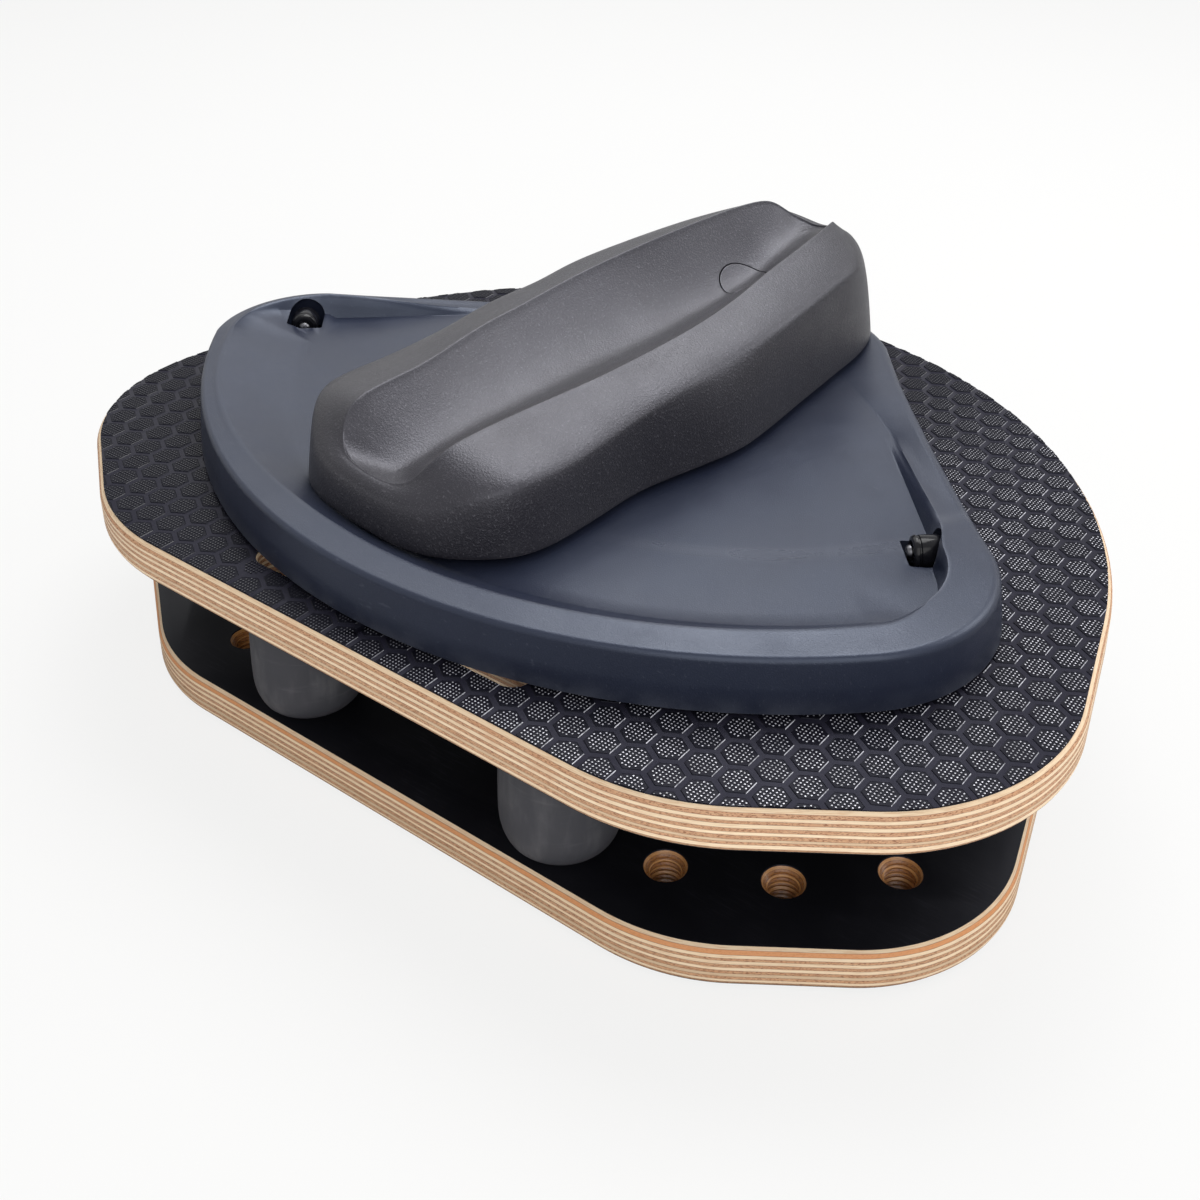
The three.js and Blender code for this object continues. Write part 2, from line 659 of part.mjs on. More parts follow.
// How the rim and the recess of the steering plate run along each stretch of its outline.
// rise: share of the rim height; wall: share of the step from the floor to the rim's inner edge
// lean and bow: inset of the shoulder at both ends and its extra inset in the middle
// edge and foot: inset of the step's top and of its foot; sag: share of the step at half its width
// brow: share of the step's height that is steep, above the sweep down to the foot
// ramp: shares of the stretch between which it changes
const sideEdge = sideFootInset - sideWallRun;
const nearEdge = nearFootInset - sideWallRun;
const farEdge = farFootInset - farWallRun;
const browSpan = [0.06, 0.85];
const plateStretches = {
  apex: {
    rise: [apexRise, 0], wall: [0, 0], sag: [0.5, 0.5], lean: [apexLean, apexFarLean], bow: 0, brow: [1, 1],
    edge: [sideEdge, sideEdge], foot: [sideFootInset, sideFootInset], ramp: [0, 1],
  },
  farSide: {
    rise: [0, 1], wall: [0, 1], sag: [0.5, 0.5], lean: [apexFarLean, farLean], bow: 0, brow: [1, 1],
    edge: [sideEdge, farEdge], foot: [sideFootInset, farFootInset], ramp: [0.55, 1], wallRamp: [0.5, 0.9],
  },
  farCorner: {
    rise: [1, 1], wall: [1, 1], sag: [0.5, 0.3], lean: [farLean, frontLean], bow: 0, brow: [1, 0],
    edge: [farEdge, bevelStart], foot: [farFootInset, sweptFootInset], ramp: [0.12, 0.72],
  },
  front: {
    rise: [1, 1], wall: [1, 1], sag: [0.3, 0.48], lean: [frontLean, cornerLean], bow: frontBow, brow: [0, 0],
    edge: [bevelStart, bevelStart], foot: [sweptFootInset, bevelFootInset], ramp: [0.05, 0.5],
  },
  nearCorner: {
    rise: [1, 1], wall: [1, 1], sag: [0.48, 0.5], lean: [cornerLean, cornerLean], bow: 0, brow: [0, 1],
    edge: [bevelStart, nearEdge], foot: [bevelFootInset, nearFootInset], ramp: [0.08, 0.5],
  },
  nearSide: {
    rise: [1, apexRise], wall: [1, 0], sag: [0.5, 0.5], lean: [cornerLean, apexLean], bow: sideBow, brow: [1, 1],
    edge: [nearEdge, sideEdge], foot: [nearFootInset, sideFootInset], ramp: [0, 1],
    wallRamp: [0.1, 0.53], edgeRamp: [0, 0.12],
  },
};

// Rim and recess at one outline point.
function plateRim({ segment, share }) {
  const stretch = plateStretches[segment];
  const along = (span) => THREE.MathUtils.clamp(THREE.MathUtils.inverseLerp(...span, share), 0, 1);
  const ramp = along(stretch.ramp);
  const edgeRamp = smooth(along(stretch.edgeRamp ?? stretch.ramp));
  const bow = 4 * share * (1 - share);
  const wall = mix(...stretch.wall, along(stretch.wallRamp ?? stretch.ramp));
  const drop = segment === "front" ? plateFrontDrop * bow : 0;
  const top = mix(plateFloorHeight, plateRimHeight, mix(...stretch.rise, ramp)) - drop;
  const dip = ["farSide", "nearSide", "nearCorner"].includes(segment) ? grooveDip * wall : 0;
  const fade = segment === "nearCorner" ? smooth(ramp) : 1;
  const edge = mix(...stretch.edge, edgeRamp);
  const edgeTop = mix(plateFloorHeight, top, wall);
  const footLevel = plateFloorHeight - dip * fade;
  const brow = mix(browSpan[1], browSpan[0], 1 - mix(...stretch.brow, ramp));
  const steepFoot = segment === "farCorner" ? farFootInset : mix(...stretch.foot, edgeRamp);
  return {
    top,
    lean: mix(...stretch.lean, share) + stretch.bow * bow,
    edge,
    foot: mix(...stretch.foot, edgeRamp),
    sag: mix(...stretch.sag, ramp),
    edgeTop,
    footLevel,
    browInset: mix(edge, steepFoot, brow),
    browLevel: mix(edgeTop, footLevel, brow),
  };
}

// Ring of the steering plate with inset and height worked out point by point.
function plateRing(outline, place) {
  return outline.map((p) => {
    const [inset, z] = place(plateRim(p));
    return [p.x - p.nx * inset, p.y - p.ny * inset, z];
  });
}

// Shares of the shoulder's width and of its height at the rings that round it
const shoulderShares = [[0, 1], [0.16, 0.5], [0.48, 0.14], [1, 0]];

// Outer form of the steering plate without its hollow.
function plateForm(outline) {
  return loft([
    plateRing(outline, () => [0, plateLift]),
    plateRing(outline, () => [0, plateLift + plateFootLip]),
    ...shoulderShares.map(([wide, high]) =>
      plateRing(outline, ({ lean, top }) => [lean + shoulderWidth * wide, top - shoulderHeight * high]),
    ),
    plateRing(outline, ({ edge, edgeTop }) => [Math.max(edge, bevelStart), edgeTop]),
    plateRing(outline, ({ browInset, browLevel }) => [browInset, browLevel]),
    plateRing(outline, ({ browInset, foot, sag, browLevel, footLevel }) => [
      mix(browInset, foot, 1 / 2),
      mix(footLevel, browLevel, sag),
    ]),
    plateRing(outline, ({ foot, footLevel }) => [foot, footLevel]),
    plateRing(outline, () => [floorInset, plateFloorHeight]),
  ]);
}

// Hollow under the steering plate, one wall thickness inside its form.
function plateHollow(outline) {
  const wall = plateWall;
  const ceiling = plateFloorHeight - wall;
  return loft([
    plateRing(outline, () => [wall, plateLift - cutOverrun]),
    plateRing(outline, () => [wall, plateLift]),
    plateRing(outline, ({ lean, top, footLevel }) => [
      lean + wall,
      Math.max(top - shoulderHeight - wall, footLevel - wall),
    ]),
    plateRing(outline, ({ foot, footLevel }) => [foot + wall, footLevel - wall]),
    plateRing(outline, () => [floorInset, ceiling]),
  ]);
}

// Radial and ring ribs under the steering plate, before they are trimmed to its form.
function plateRibs() {
  const low = plateLift + ribLift;
  const high = plateFloorHeight - plateWall / 2;
  const ribs = ribDegrees.map((degrees) =>
    block([-ribThickness / 2, -plateFrontRadius, low], [ribThickness / 2, 0, high]).rotate([0, 0, degrees]),
  );
  for (const radius of ribRingRadii) {
    ribs.push(tube(radius - ribThickness, radius, low, high, roundSegments * 2));
  }
  return ribs;
}

// Places of the plate's rubber feet, on its apex, corners and front.
function plateFeet() {
  const { spread, angle: centreAngle } = cornerCentre(plateCornerRadius);
  const cornerReach = spread + plateFootInset / 2;
  const frontReach = plateFrontRadius - plateFootInset;
  const frontTurn = (Math.PI / 2 + centreAngle) / 3;
  return {
    plate_foot_apex: [0, plateApexRadius - plateFootInset],
    plate_foot_corner_left: [-cornerReach * Math.cos(centreAngle), cornerReach * Math.sin(centreAngle)],
    plate_foot_corner_right: [cornerReach * Math.cos(centreAngle), cornerReach * Math.sin(centreAngle)],
    plate_foot_front_left: [-frontReach * Math.sin(frontTurn), -frontReach * Math.cos(frontTurn)],
    plate_foot_front_right: [frontReach * Math.sin(frontTurn), -frontReach * Math.cos(frontTurn)],
  };
}

// Moves a solid that lies along +Z from the origin to a roller axis of the plate.
function ontoRollerAxis(body, sign, along) {
  const side = radians(plateSideDegrees);
  const [nx, ny] = [Math.cos(side), Math.sin(side)];
  const lain = body.rotate([0, 90, 0]).rotate([0, 0, sign > 0 ? plateSideDegrees : 180 - plateSideDegrees]);
  const [x, y] = [sign * along * ny, -along * nx];
  return lain.translate([x, y, plateFloorHeight - rollerDrop]);
}

const rollerSides = [
  { side: "left", sign: -1, along: rollerAlongFar, pocketEnd: rollerPocketEndFar },
  { side: "right", sign: 1, along: rollerAlongNear, pocketEnd: rollerPocketEndNear },
];
const rollerScrewTip = rollerStart + rollerLength + rollerScrewDepth;

// Steering plate: moulded shell with hub, ribs, foot bosses and roller pockets.
function addPlate() {
  const outline = plateOutline();
  const form = plateForm(outline);
  const hubLow = plateLift + spindleFlangeHeight + seatGap + ribLift;
  const footTop = plateFootHeight + seatGap;
  const bosses = Object.values(plateFeet()).map(([x, y]) =>
    bar(plateFootBossRadius, footTop + seatGap, plateFloorHeight, smallSegments).translate([x, y, 0]),
  );
  const hub = bar(plateHubRadius, hubLow, plateFloorHeight);
  const inner = [...plateRibs(), ...bosses, hub].reduce((left, body) => left.add(body));
  const ribRoom = bar(plateHubRadius + ribThickness, -cutOverrun, hubLow);
  let shell = form.subtract(plateHollow(outline)).add(inner.intersect(form).subtract(ribRoom));
  for (const [x, y] of Object.values(plateFeet())) {
    const stem = bar(plateFootStemRadius + seatGap, 0, footTop + plateFootStemLength + seatGap, smallSegments);
    const room = bar(plateFootRadius + seatGap, -cutOverrun, footTop + seatGap, smallSegments);
    shell = shell.subtract(stem.translate([x, y, 0])).subtract(room.translate([x, y, 0]));
  }
  for (const { sign, along, pocketEnd } of rollerSides) {
    const pocket = bar(rollerPocketRadius, rollerPocketStart, pocketEnd);
    const housing = bar(
      rollerPocketRadius + rollerPocketWall,
      rollerPocketStart - rollerPocketWall,
      pocketEnd + rollerPocketWall,
    );
    const bossLow = rollerStart + rollerLength + seatGap;
    const boss = bar(rollerBossRadius, bossLow, rollerScrewTip + rollerPocketWall, smallSegments);
    const hole = bar(rollerScrewRadius + seatGap, rollerStart, rollerScrewTip + seatGap, smallSegments);
    shell = shell
      .add(ontoRollerAxis(housing, sign, along).intersect(form))
      .subtract(ontoRollerAxis(pocket, sign, along))
      .add(ontoRollerAxis(boss, sign, along).intersect(form))
      .subtract(ontoRollerAxis(hole, sign, along));
  }
  shell = shell.subtract(bar(spindleRadius + seatGap, -cutOverrun, plateRimHeight));
  addPiece(plateGroup, "steering_plate", shell, "plateShell");

  const foot = turned([
    [0, seatGap],
    [plateFootRadius, seatGap],
    [plateFootRadius, footTop],
    [plateFootStemRadius, footTop],
    [plateFootStemRadius, footTop + plateFootStemLength],
    [0, footTop + plateFootStemLength],
  ], smallSegments);
  for (const [name, [x, y]] of Object.entries(plateFeet())) {
    addPiece(plateGroup, name, foot.translate([x, y, 0]), "rubber");
  }
}

// Corner rollers and the screws that they turn on.
function addRollers() {
  const end = rollerStart + rollerLength;
  const roller = turned([
    [rollerBoreRadius, rollerStart],
    [rollerRadius - rollerEase, rollerStart],
    [rollerRadius, rollerStart + rollerEase],
    [rollerRadius, mix(rollerStart, end, 0.3)],
    [rollerWaistRadius, mix(rollerStart, end, 0.4)],
    [rollerWaistRadius, mix(rollerStart, end, 0.5)],
    [rollerRadius, mix(rollerStart, end, 0.6)],
    [rollerRadius, end - rollerEase],
    [rollerRadius - rollerEase, end],
    [rollerBoreRadius, end],
    [rollerBoreRadius, rollerStart],
  ]);
  const headLow = rollerStart - seatGap - rollerScrewHeadHeight;
  const screw = turned([
    [0, headLow],
    [rollerScrewHeadRadius, headLow],
    [rollerScrewHeadRadius, rollerStart - seatGap],
    [rollerScrewRadius, rollerStart - seatGap],
    [rollerScrewRadius, rollerScrewTip],
    [0, rollerScrewTip],
  ], smallSegments);
  for (const { side, sign, along } of rollerSides) {
    addPiece(plateGroup, `corner_roller_${side}`, ontoRollerAxis(roller, sign, along), "blackPlastic");
    addPiece(plateGroup, `roller_screw_${side}`, ontoRollerAxis(screw, sign, along), "zincSteel");
  }
}

// Point on a cradle curve from its shares.
function cradlePoint([along, half, height]) {
  return new THREE.Vector3(
    half * cradleHalfWidth,
    along * cradleLength - cradleFrontReach,
    height * cradleHeight,
  );
}

// Smooth half curve through one entry of every station, front middle to back middle.
function cradleCurve(pick) {
  const points = cradleStationShares.map((station) => cradlePoint(pick(station)));
  const curve = new THREE.CatmullRomCurve3(points);
  const steps = (points.length - 1) * stationSteps;
  return Array.from({ length: steps + 1 }, (_, i) => curve.getPoint(i / steps));
}

// Whole ring from a half curve and its mirror image.
function mirrored(half) {
  const right = half.map((p) => [Math.max(p.x, 0), p.y, p.z]);
  right[0][0] = 0;
  right[right.length - 1][0] = 0;
  const left = right.slice(1, -1).reverse().map(([x, y, z]) => [-x, y, z]);
  return [...right, ...left];
}

// Closed cradle solid between a flat underside ring and rings that fold onto the middle line.
function cradleLoft(rings) {
  const count = rings[0].length;
  const half = count / 2;
  const positions = rings.flat(2);
  const index = [];
  for (let r = 0; r + 1 < rings.length; r += 1) {
    for (let i = 0; i < count; i += 1) {
      const next = (i + 1) % count;
      const [a, b] = [r * count + i, r * count + next];
      const [c, d] = [a + count, b + count];
      if (i < half) index.push(a, b, d, a, d, c);
      else index.push(a, b, c, b, d, c);
    }
  }
  const base = rings[0].map(([x, y]) => new THREE.Vector2(x, y));
  for (const face of THREE.ShapeUtils.triangulateShape(base, [])) index.push(face[0], face[2], face[1]);
  const geometry = new THREE.BufferGeometry();
  geometry.setAttribute("position", new THREE.Float32BufferAttribute(positions, 3));
  geometry.setIndex(index);
  return solid(geometry);
}

const skirtCurve = cradleCurve(({ skirt }) => [...skirt, 0]);
const shoulderCurve = cradleCurve(({ shoulder }) => shoulder);
const crestCurve = cradleCurve(({ crest }) => crest);
const bedCurve = cradleCurve(({ bed: [along, height] }) => [along, 0, height]);

// Height of the channel's bed over the spindle, above the skirt, and the swivel's ledge below it.
const bedAfter = bedCurve.findIndex((p) => p.y >= 0);
const [bedFrom, bedTo] = [bedCurve[bedAfter - 1], bedCurve[bedAfter]];
const bedOverSpindle = mix(bedFrom.z, bedTo.z, bedFrom.y / (bedFrom.y - bedTo.y));
const swivelLedgeHeight = bedOverSpindle - swivelLedgeDepth;

// Curve between two half curves, with the share of the way and a lift.
const between = (from, to, share, lift = 0) =>
  from.map((p, i) => new THREE.Vector3().lerpVectors(p, to[i], share).add(new THREE.Vector3(0, 0, lift)));

// Half curve moved towards the cradle's middle by a distance, and lowered.
function drawnIn(curve, distance, lower) {
  const centre = new THREE.Vector3();
  return curve.map((p, i) => {
    const before = curve[Math.max(i - 1, 0)];
    const after = curve[Math.min(i + 1, curve.length - 1)];
    const along = new THREE.Vector3().subVectors(after, before);
    if (i === 0 || i === curve.length - 1) along.set(1, 0, 0).multiplyScalar(i === 0 ? 1 : -1);
    const inward = new THREE.Vector3(-along.y, along.x, 0).normalize().multiplyScalar(distance);
    return centre.copy(p).add(inward).add(new THREE.Vector3(0, 0, -lower)).clone();
  });
}

// Outer form of the cradle: skirt, wall, shoulder, ridge, crest and wheel channel.
function cradleForm() {
  const channel = channelShares.map((share) =>
    bedCurve.map((bed, i) => {
      const crest = crestCurve[i];
      const point = new THREE.Vector3().lerpVectors(bed, crest, share);
      point.z = mix(bed.z, crest.z - crestEase, share ** channelPower);
      return point;
    }),
  );
  const wall = wallTopShares.map((share, i) => {
    const outwards = i === 0 ? share / 2 : share * share;
    return skirtCurve.map((p, k) => {
      const shoulder = shoulderCurve[k];
      const point = new THREE.Vector3().lerpVectors(p, shoulder, outwards);
      point.z = shoulder.z * share;
      return point;
    });
  });
  return cradleLoft([
    mirrored(drawnIn(skirtCurve, cradleSkirtEase, 0)),
    mirrored(between(skirtCurve, skirtCurve, 0, cradleSkirtEase)),
    ...wall.map(mirrored),
    mirrored(shoulderCurve),
    mirrored(between(shoulderCurve, crestCurve, 1 / 2, ridgeSwell)),
    mirrored(between(shoulderCurve, crestCurve, 1 - crestEase / cradleWall / 2, -crestEase / 3)),
    mirrored(crestCurve),
    ...channel.map(mirrored),
    mirrored(bedCurve),
  ]);
}

// Hollow under the cradle's walls, ridges and channel.
function cradleHollow() {
  const wall = cradleWall;
  const ridge = between(crestCurve, shoulderCurve, hollowRidgeShare, -wall - crestEase);
  const low = drawnIn(skirtCurve, wall, cutOverrun);
  const roof = bedCurve.map((bed, i) => {
    const point = new THREE.Vector3().lerpVectors(bed, crestCurve[i], channelShares[1]);
    point.z = bed.z - channelRoof;
    return point;
  });
  return cradleLoft([
    mirrored(low),
    mirrored(drawnIn(between(skirtCurve, shoulderCurve, wallTopShares[0]), wall, 0)),
    mirrored(drawnIn(shoulderCurve, wall + crestEase, wall)),
    mirrored(ridge),
    mirrored(roof),
    mirrored(between(bedCurve, bedCurve, 0, -channelRoof)),
  ]);
}

// Wheel cradle with its hub, cross ribs, glides and cap.
function addCradle() {
  const skirtZ = plateFloorHeight + cradleLift;
  const place = (body) => body.translate([0, 0, skirtZ]);
  const form = place(cradleForm());
  const shell = form.subtract(place(cradleHollow()));

  const hubLow = plateFloorHeight + thrustThickness + seatGap * 2;
  const hub = bar(cradleHubRadius, skirtZ, skirtZ + cradleHeight).intersect(form);
  const hubFoot = bar(cradleHubRadius, hubLow, skirtZ + cradleWall);
  const ribs = cradleRibShares.map((share) => {
    const y = share * cradleLength - cradleFrontReach;
    return block(
      [-cradleHalfWidth, y - cradleRibThickness / 2, skirtZ + cradleSkirtEase],
      [cradleHalfWidth, y + cradleRibThickness / 2, skirtZ + cradleHeight],
    );
  });
  const spine = block(
    [-cradleRibThickness / 2, cradleRibShares[0] * cradleLength - cradleFrontReach, skirtZ + cradleSkirtEase],
    [cradleRibThickness / 2, 0, skirtZ + cradleHeight],
  );
  const glideTop = plateFloorHeight + seatGap + glideHeight;
  const glideSeat = glideTop - glideSeatDepth;
  const glideY = glideFromFront - cradleFrontReach;
  const glides = { left: [-glideSpread, glideY], right: [glideSpread, glideY] };
  const glideBosses = Object.values(glides).map(([x, y]) =>
    bar(glideBossRadius, glideSeat, skirtZ + cradleHeight, smallSegments).translate([x, y, 0]).intersect(
      form.add(bar(glideBossRadius, glideSeat, skirtZ + cradleWall, smallSegments).translate([x, y, 0])),
    ),
  );
  const inner = [...ribs, spine].reduce((left, rib) => left.add(rib)).intersect(form);
  const glideRoom = bar(glideRadius + seatGap, 0, glideTop + seatGap, smallSegments);
  const ledge = skirtZ + swivelLedgeHeight;
  const hubBore = spindleRadius + seatGap + bushWall + seatGap;
  const capBore = capRadius + seatGap;
  let body = [hub, hubFoot, inner, ...glideBosses].reduce((left, piece) => left.add(piece), shell);
  for (const [x, y] of Object.values(glides)) body = body.subtract(glideRoom.translate([x, y, 0]));
  body = body.subtract(bar(hubBore, 0, ledge + cutOverrun)).subtract(bar(capBore, ledge, skirtZ + cradleHeight));
  addPiece(cradleGroup, "wheel_cradle", body, "cradleShell");

  const glide = bar(glideRadius, plateFloorHeight + seatGap, glideTop, smallSegments);
  for (const [side, [x, y]] of Object.entries(glides)) {
    addPiece(cradleGroup, `glide_${side}`, glide.translate([x, y, 0]), "slidePlastic");
  }

  const washerTop = ledge + seatGap + bushFlangeHeight + seatGap + topWasherThickness;
  const capLow = washerTop + seatGap * 2;
  const headTop = washerTop + seatGap + swivelScrewHeadHeight + seatGap;
  const cap = bar(capRadius, capLow, skirtZ + cradleHeight).intersect(form);
  const capHollow = bar(capRadius - capWall, 0, headTop + capWall / 2);
  addPiece(cradleGroup, "swivel_cap", cap.subtract(capHollow), "cradleShell");
}

// Swivel parts on the spindle's axis.
function addSwivel() {
  const skirtZ = plateFloorHeight + cradleLift;
  const ledge = skirtZ + swivelLedgeHeight;
  const flangeLow = plateLift + ribLift;
  const flangeHigh = flangeLow + spindleFlangeHeight;
  const bushLow = plateFloorHeight + thrustThickness + seatGap * 2;
  const bushTop = ledge + seatGap + bushFlangeHeight;
  const spindleTop = bushTop + seatGap / 2;
  const washerLow = bushTop + seatGap;
  const washerTop = washerLow + topWasherThickness;
  const bushBore = spindleRadius + seatGap;
  const spindle = turned([
    [0, flangeLow],
    [spindleFlangeRadius, flangeLow],
    [spindleFlangeRadius, flangeHigh],
    [spindleRadius, flangeHigh],
    [spindleRadius, spindleTop],
    [0, spindleTop],
  ]).subtract(bar(swivelScrewRadius + seatGap, washerTop - swivelScrewLength, washerTop, smallSegments));
  addPiece(plateGroup, "spindle", spindle, "zincSteel");

  const thrust = tube(bushBore, thrustRadius, plateFloorHeight + seatGap, plateFloorHeight + seatGap + thrustThickness);
  addPiece(plateGroup, "thrust_washer", thrust, "slidePlastic");

  const bush = turned([
    [bushBore, bushLow],
    [bushBore + bushWall, bushLow],
    [bushBore + bushWall, ledge + seatGap],
    [bushFlangeRadius, ledge + seatGap],
    [bushFlangeRadius, bushTop],
    [bushBore, bushTop],
    [bushBore, bushLow],
  ]);
  addPiece(cradleGroup, "swivel_bush", bush, "slidePlastic");

  const washer = tube(swivelScrewRadius + seatGap, topWasherRadius, washerLow, washerTop);
  addPiece(plateGroup, "swivel_washer", washer, "zincSteel");

  const headLow = washerTop + seatGap;
  const screw = turned([
    [0, headLow + swivelScrewHeadHeight],
    [swivelScrewHeadRadius, headLow + swivelScrewHeadHeight],
    [swivelScrewHeadRadius, headLow],
    [swivelScrewRadius, headLow],
    [swivelScrewRadius, washerTop - swivelScrewLength + seatGap],
    [0, washerTop - swivelScrewLength + seatGap],
  ], smallSegments);
  const key = bar(socketKeyRadius, headLow, headLow + swivelScrewHeadHeight + cutOverrun, 6);
  addPiece(plateGroup, "swivel_screw", screw.subtract(key), "zincSteel");
}

addLowerBoard();
addBuffers();
addUpperBoard();
addPlate();
addRollers();
addCradle();
addSwivel();

export default part;
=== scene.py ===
"""Dresses the rocker riser: two film-faced plywood boards on rubber buffers, and on the upper one a
steering plate whose wheel cradle swivels about a spindle.

Sizes in the classes are millimetres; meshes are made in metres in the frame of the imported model.
"""

from __future__ import annotations

import logging
import math
from dataclasses import dataclass, field
from enum import Enum
from typing import Callable, Iterable, Sequence

import bmesh
import bpy
from mathutils import Matrix, Vector

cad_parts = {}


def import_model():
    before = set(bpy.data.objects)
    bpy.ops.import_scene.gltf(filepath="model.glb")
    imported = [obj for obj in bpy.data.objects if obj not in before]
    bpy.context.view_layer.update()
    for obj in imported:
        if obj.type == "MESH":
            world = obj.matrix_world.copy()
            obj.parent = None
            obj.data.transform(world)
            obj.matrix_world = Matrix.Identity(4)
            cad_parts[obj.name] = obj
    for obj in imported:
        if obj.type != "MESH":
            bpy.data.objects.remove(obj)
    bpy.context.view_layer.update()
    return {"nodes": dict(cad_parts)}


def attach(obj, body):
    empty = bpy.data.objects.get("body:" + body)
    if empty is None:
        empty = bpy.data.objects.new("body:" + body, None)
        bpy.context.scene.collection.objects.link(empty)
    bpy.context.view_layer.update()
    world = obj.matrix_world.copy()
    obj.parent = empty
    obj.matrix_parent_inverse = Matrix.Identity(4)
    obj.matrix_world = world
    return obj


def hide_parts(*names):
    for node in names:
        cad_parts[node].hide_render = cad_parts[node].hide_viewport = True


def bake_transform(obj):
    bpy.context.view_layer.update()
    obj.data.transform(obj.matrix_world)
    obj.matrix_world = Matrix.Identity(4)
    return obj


log = logging.getLogger("rocker_riser")

MM = 0.001
DECK = 93.5
SPINDLE_Y = 88.5
Point = tuple[float, float, float]
Colour = tuple[float, float, float]


class Body(Enum):
    """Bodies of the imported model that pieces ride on."""

    LOWER = "lower"
    UPPER = "upper"
    CRADLE = "cradle"


class Slot(Enum):
    """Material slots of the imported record."""

    PLYWOOD = "plywood"
    FILM = "grip_film"
    RUBBER = "rubber"
    PLATE = "plate_shell"
    CRADLE = "cradle_shell"
    BLACK = "black_plastic"
    SLIDE = "slide_plastic"
    ZINC = "zinc_steel"
    BRASS = "brass"


# Plane geometry


@dataclass(frozen=True)
class Edge:
    """A point of an outline with its outward normal and its share of the stretch it lies on."""

    x: float
    y: float
    nx: float
    ny: float
    share: float = 0.0
    stretch: str = ""

    def inset(self, distance: float) -> tuple[float, float]:
        """Place of this point moved inwards."""
        return self.x - self.nx * distance, self.y - self.ny * distance


def mix(a: float, b: float, t: float) -> float:
    """Value between two others."""
    return a + (b - a) * t


def clamp(t: float) -> float:
    """Value held between 0 and 1."""
    return max(0.0, min(1.0, t))


def smooth(t: float) -> float:
    """Eased share of the way."""
    t = clamp(t)
    return t * t * (3 - 2 * t)


def arc(
    x: float, y: float, radius: float, start: float, end: float, step: float = 2.5, stretch: str = ""
) -> list[Edge]:
    """Points of a circular arc, both ends included.

    Args:
        x: Centre across.
        y: Centre along.
        radius: Radius of the arc.
        start: First angle in radians.
        end: Last angle in radians.
        step: Largest turn between points, in degrees.
        stretch: Name that the points carry.

    Returns:
        Outline points with outward normals.
    """
    steps = max(1, math.ceil(abs(end - start) / math.radians(step)))
    made = []
    for i in range(steps + 1):
        angle = mix(start, end, i / steps)
        nx, ny = math.cos(angle), math.sin(angle)
        made.append(Edge(x + radius * nx, y + radius * ny, nx, ny, i / steps, stretch))
    return made


def clearance(outline: Sequence[Edge], x: float, y: float) -> tuple[float, Edge]:
    """Distance of a place inside a convex outline from its edge.

    Args:
        outline: Convex outline.
        x: Place across.
        y: Place along.

    Returns:
        The distance, negative outside, and the outline point nearest to it.
    """
    return min((((p.x - x) * p.nx + (p.y - y) * p.ny, p) for p in outline), key=lambda pair: pair[0])


def turned_about_spindle(places: Iterable[Point], degrees: float, lift: float = DECK) -> list[Point]:
    """Places of the steering plate or cradle turned about the spindle and set on the deck.

    Args:
        places: Places about the spindle.
        degrees: Turn, counter-clockwise.
        lift: Height that the places' heights count from.

    Returns:
        Places in the frame.
    """
    c, s = math.cos(math.radians(degrees)), math.sin(math.radians(degrees))
    return [(c * x - s * y, s * x + c * y + SPINDLE_Y, z + lift) for x, y, z in places]


# Modelling moves


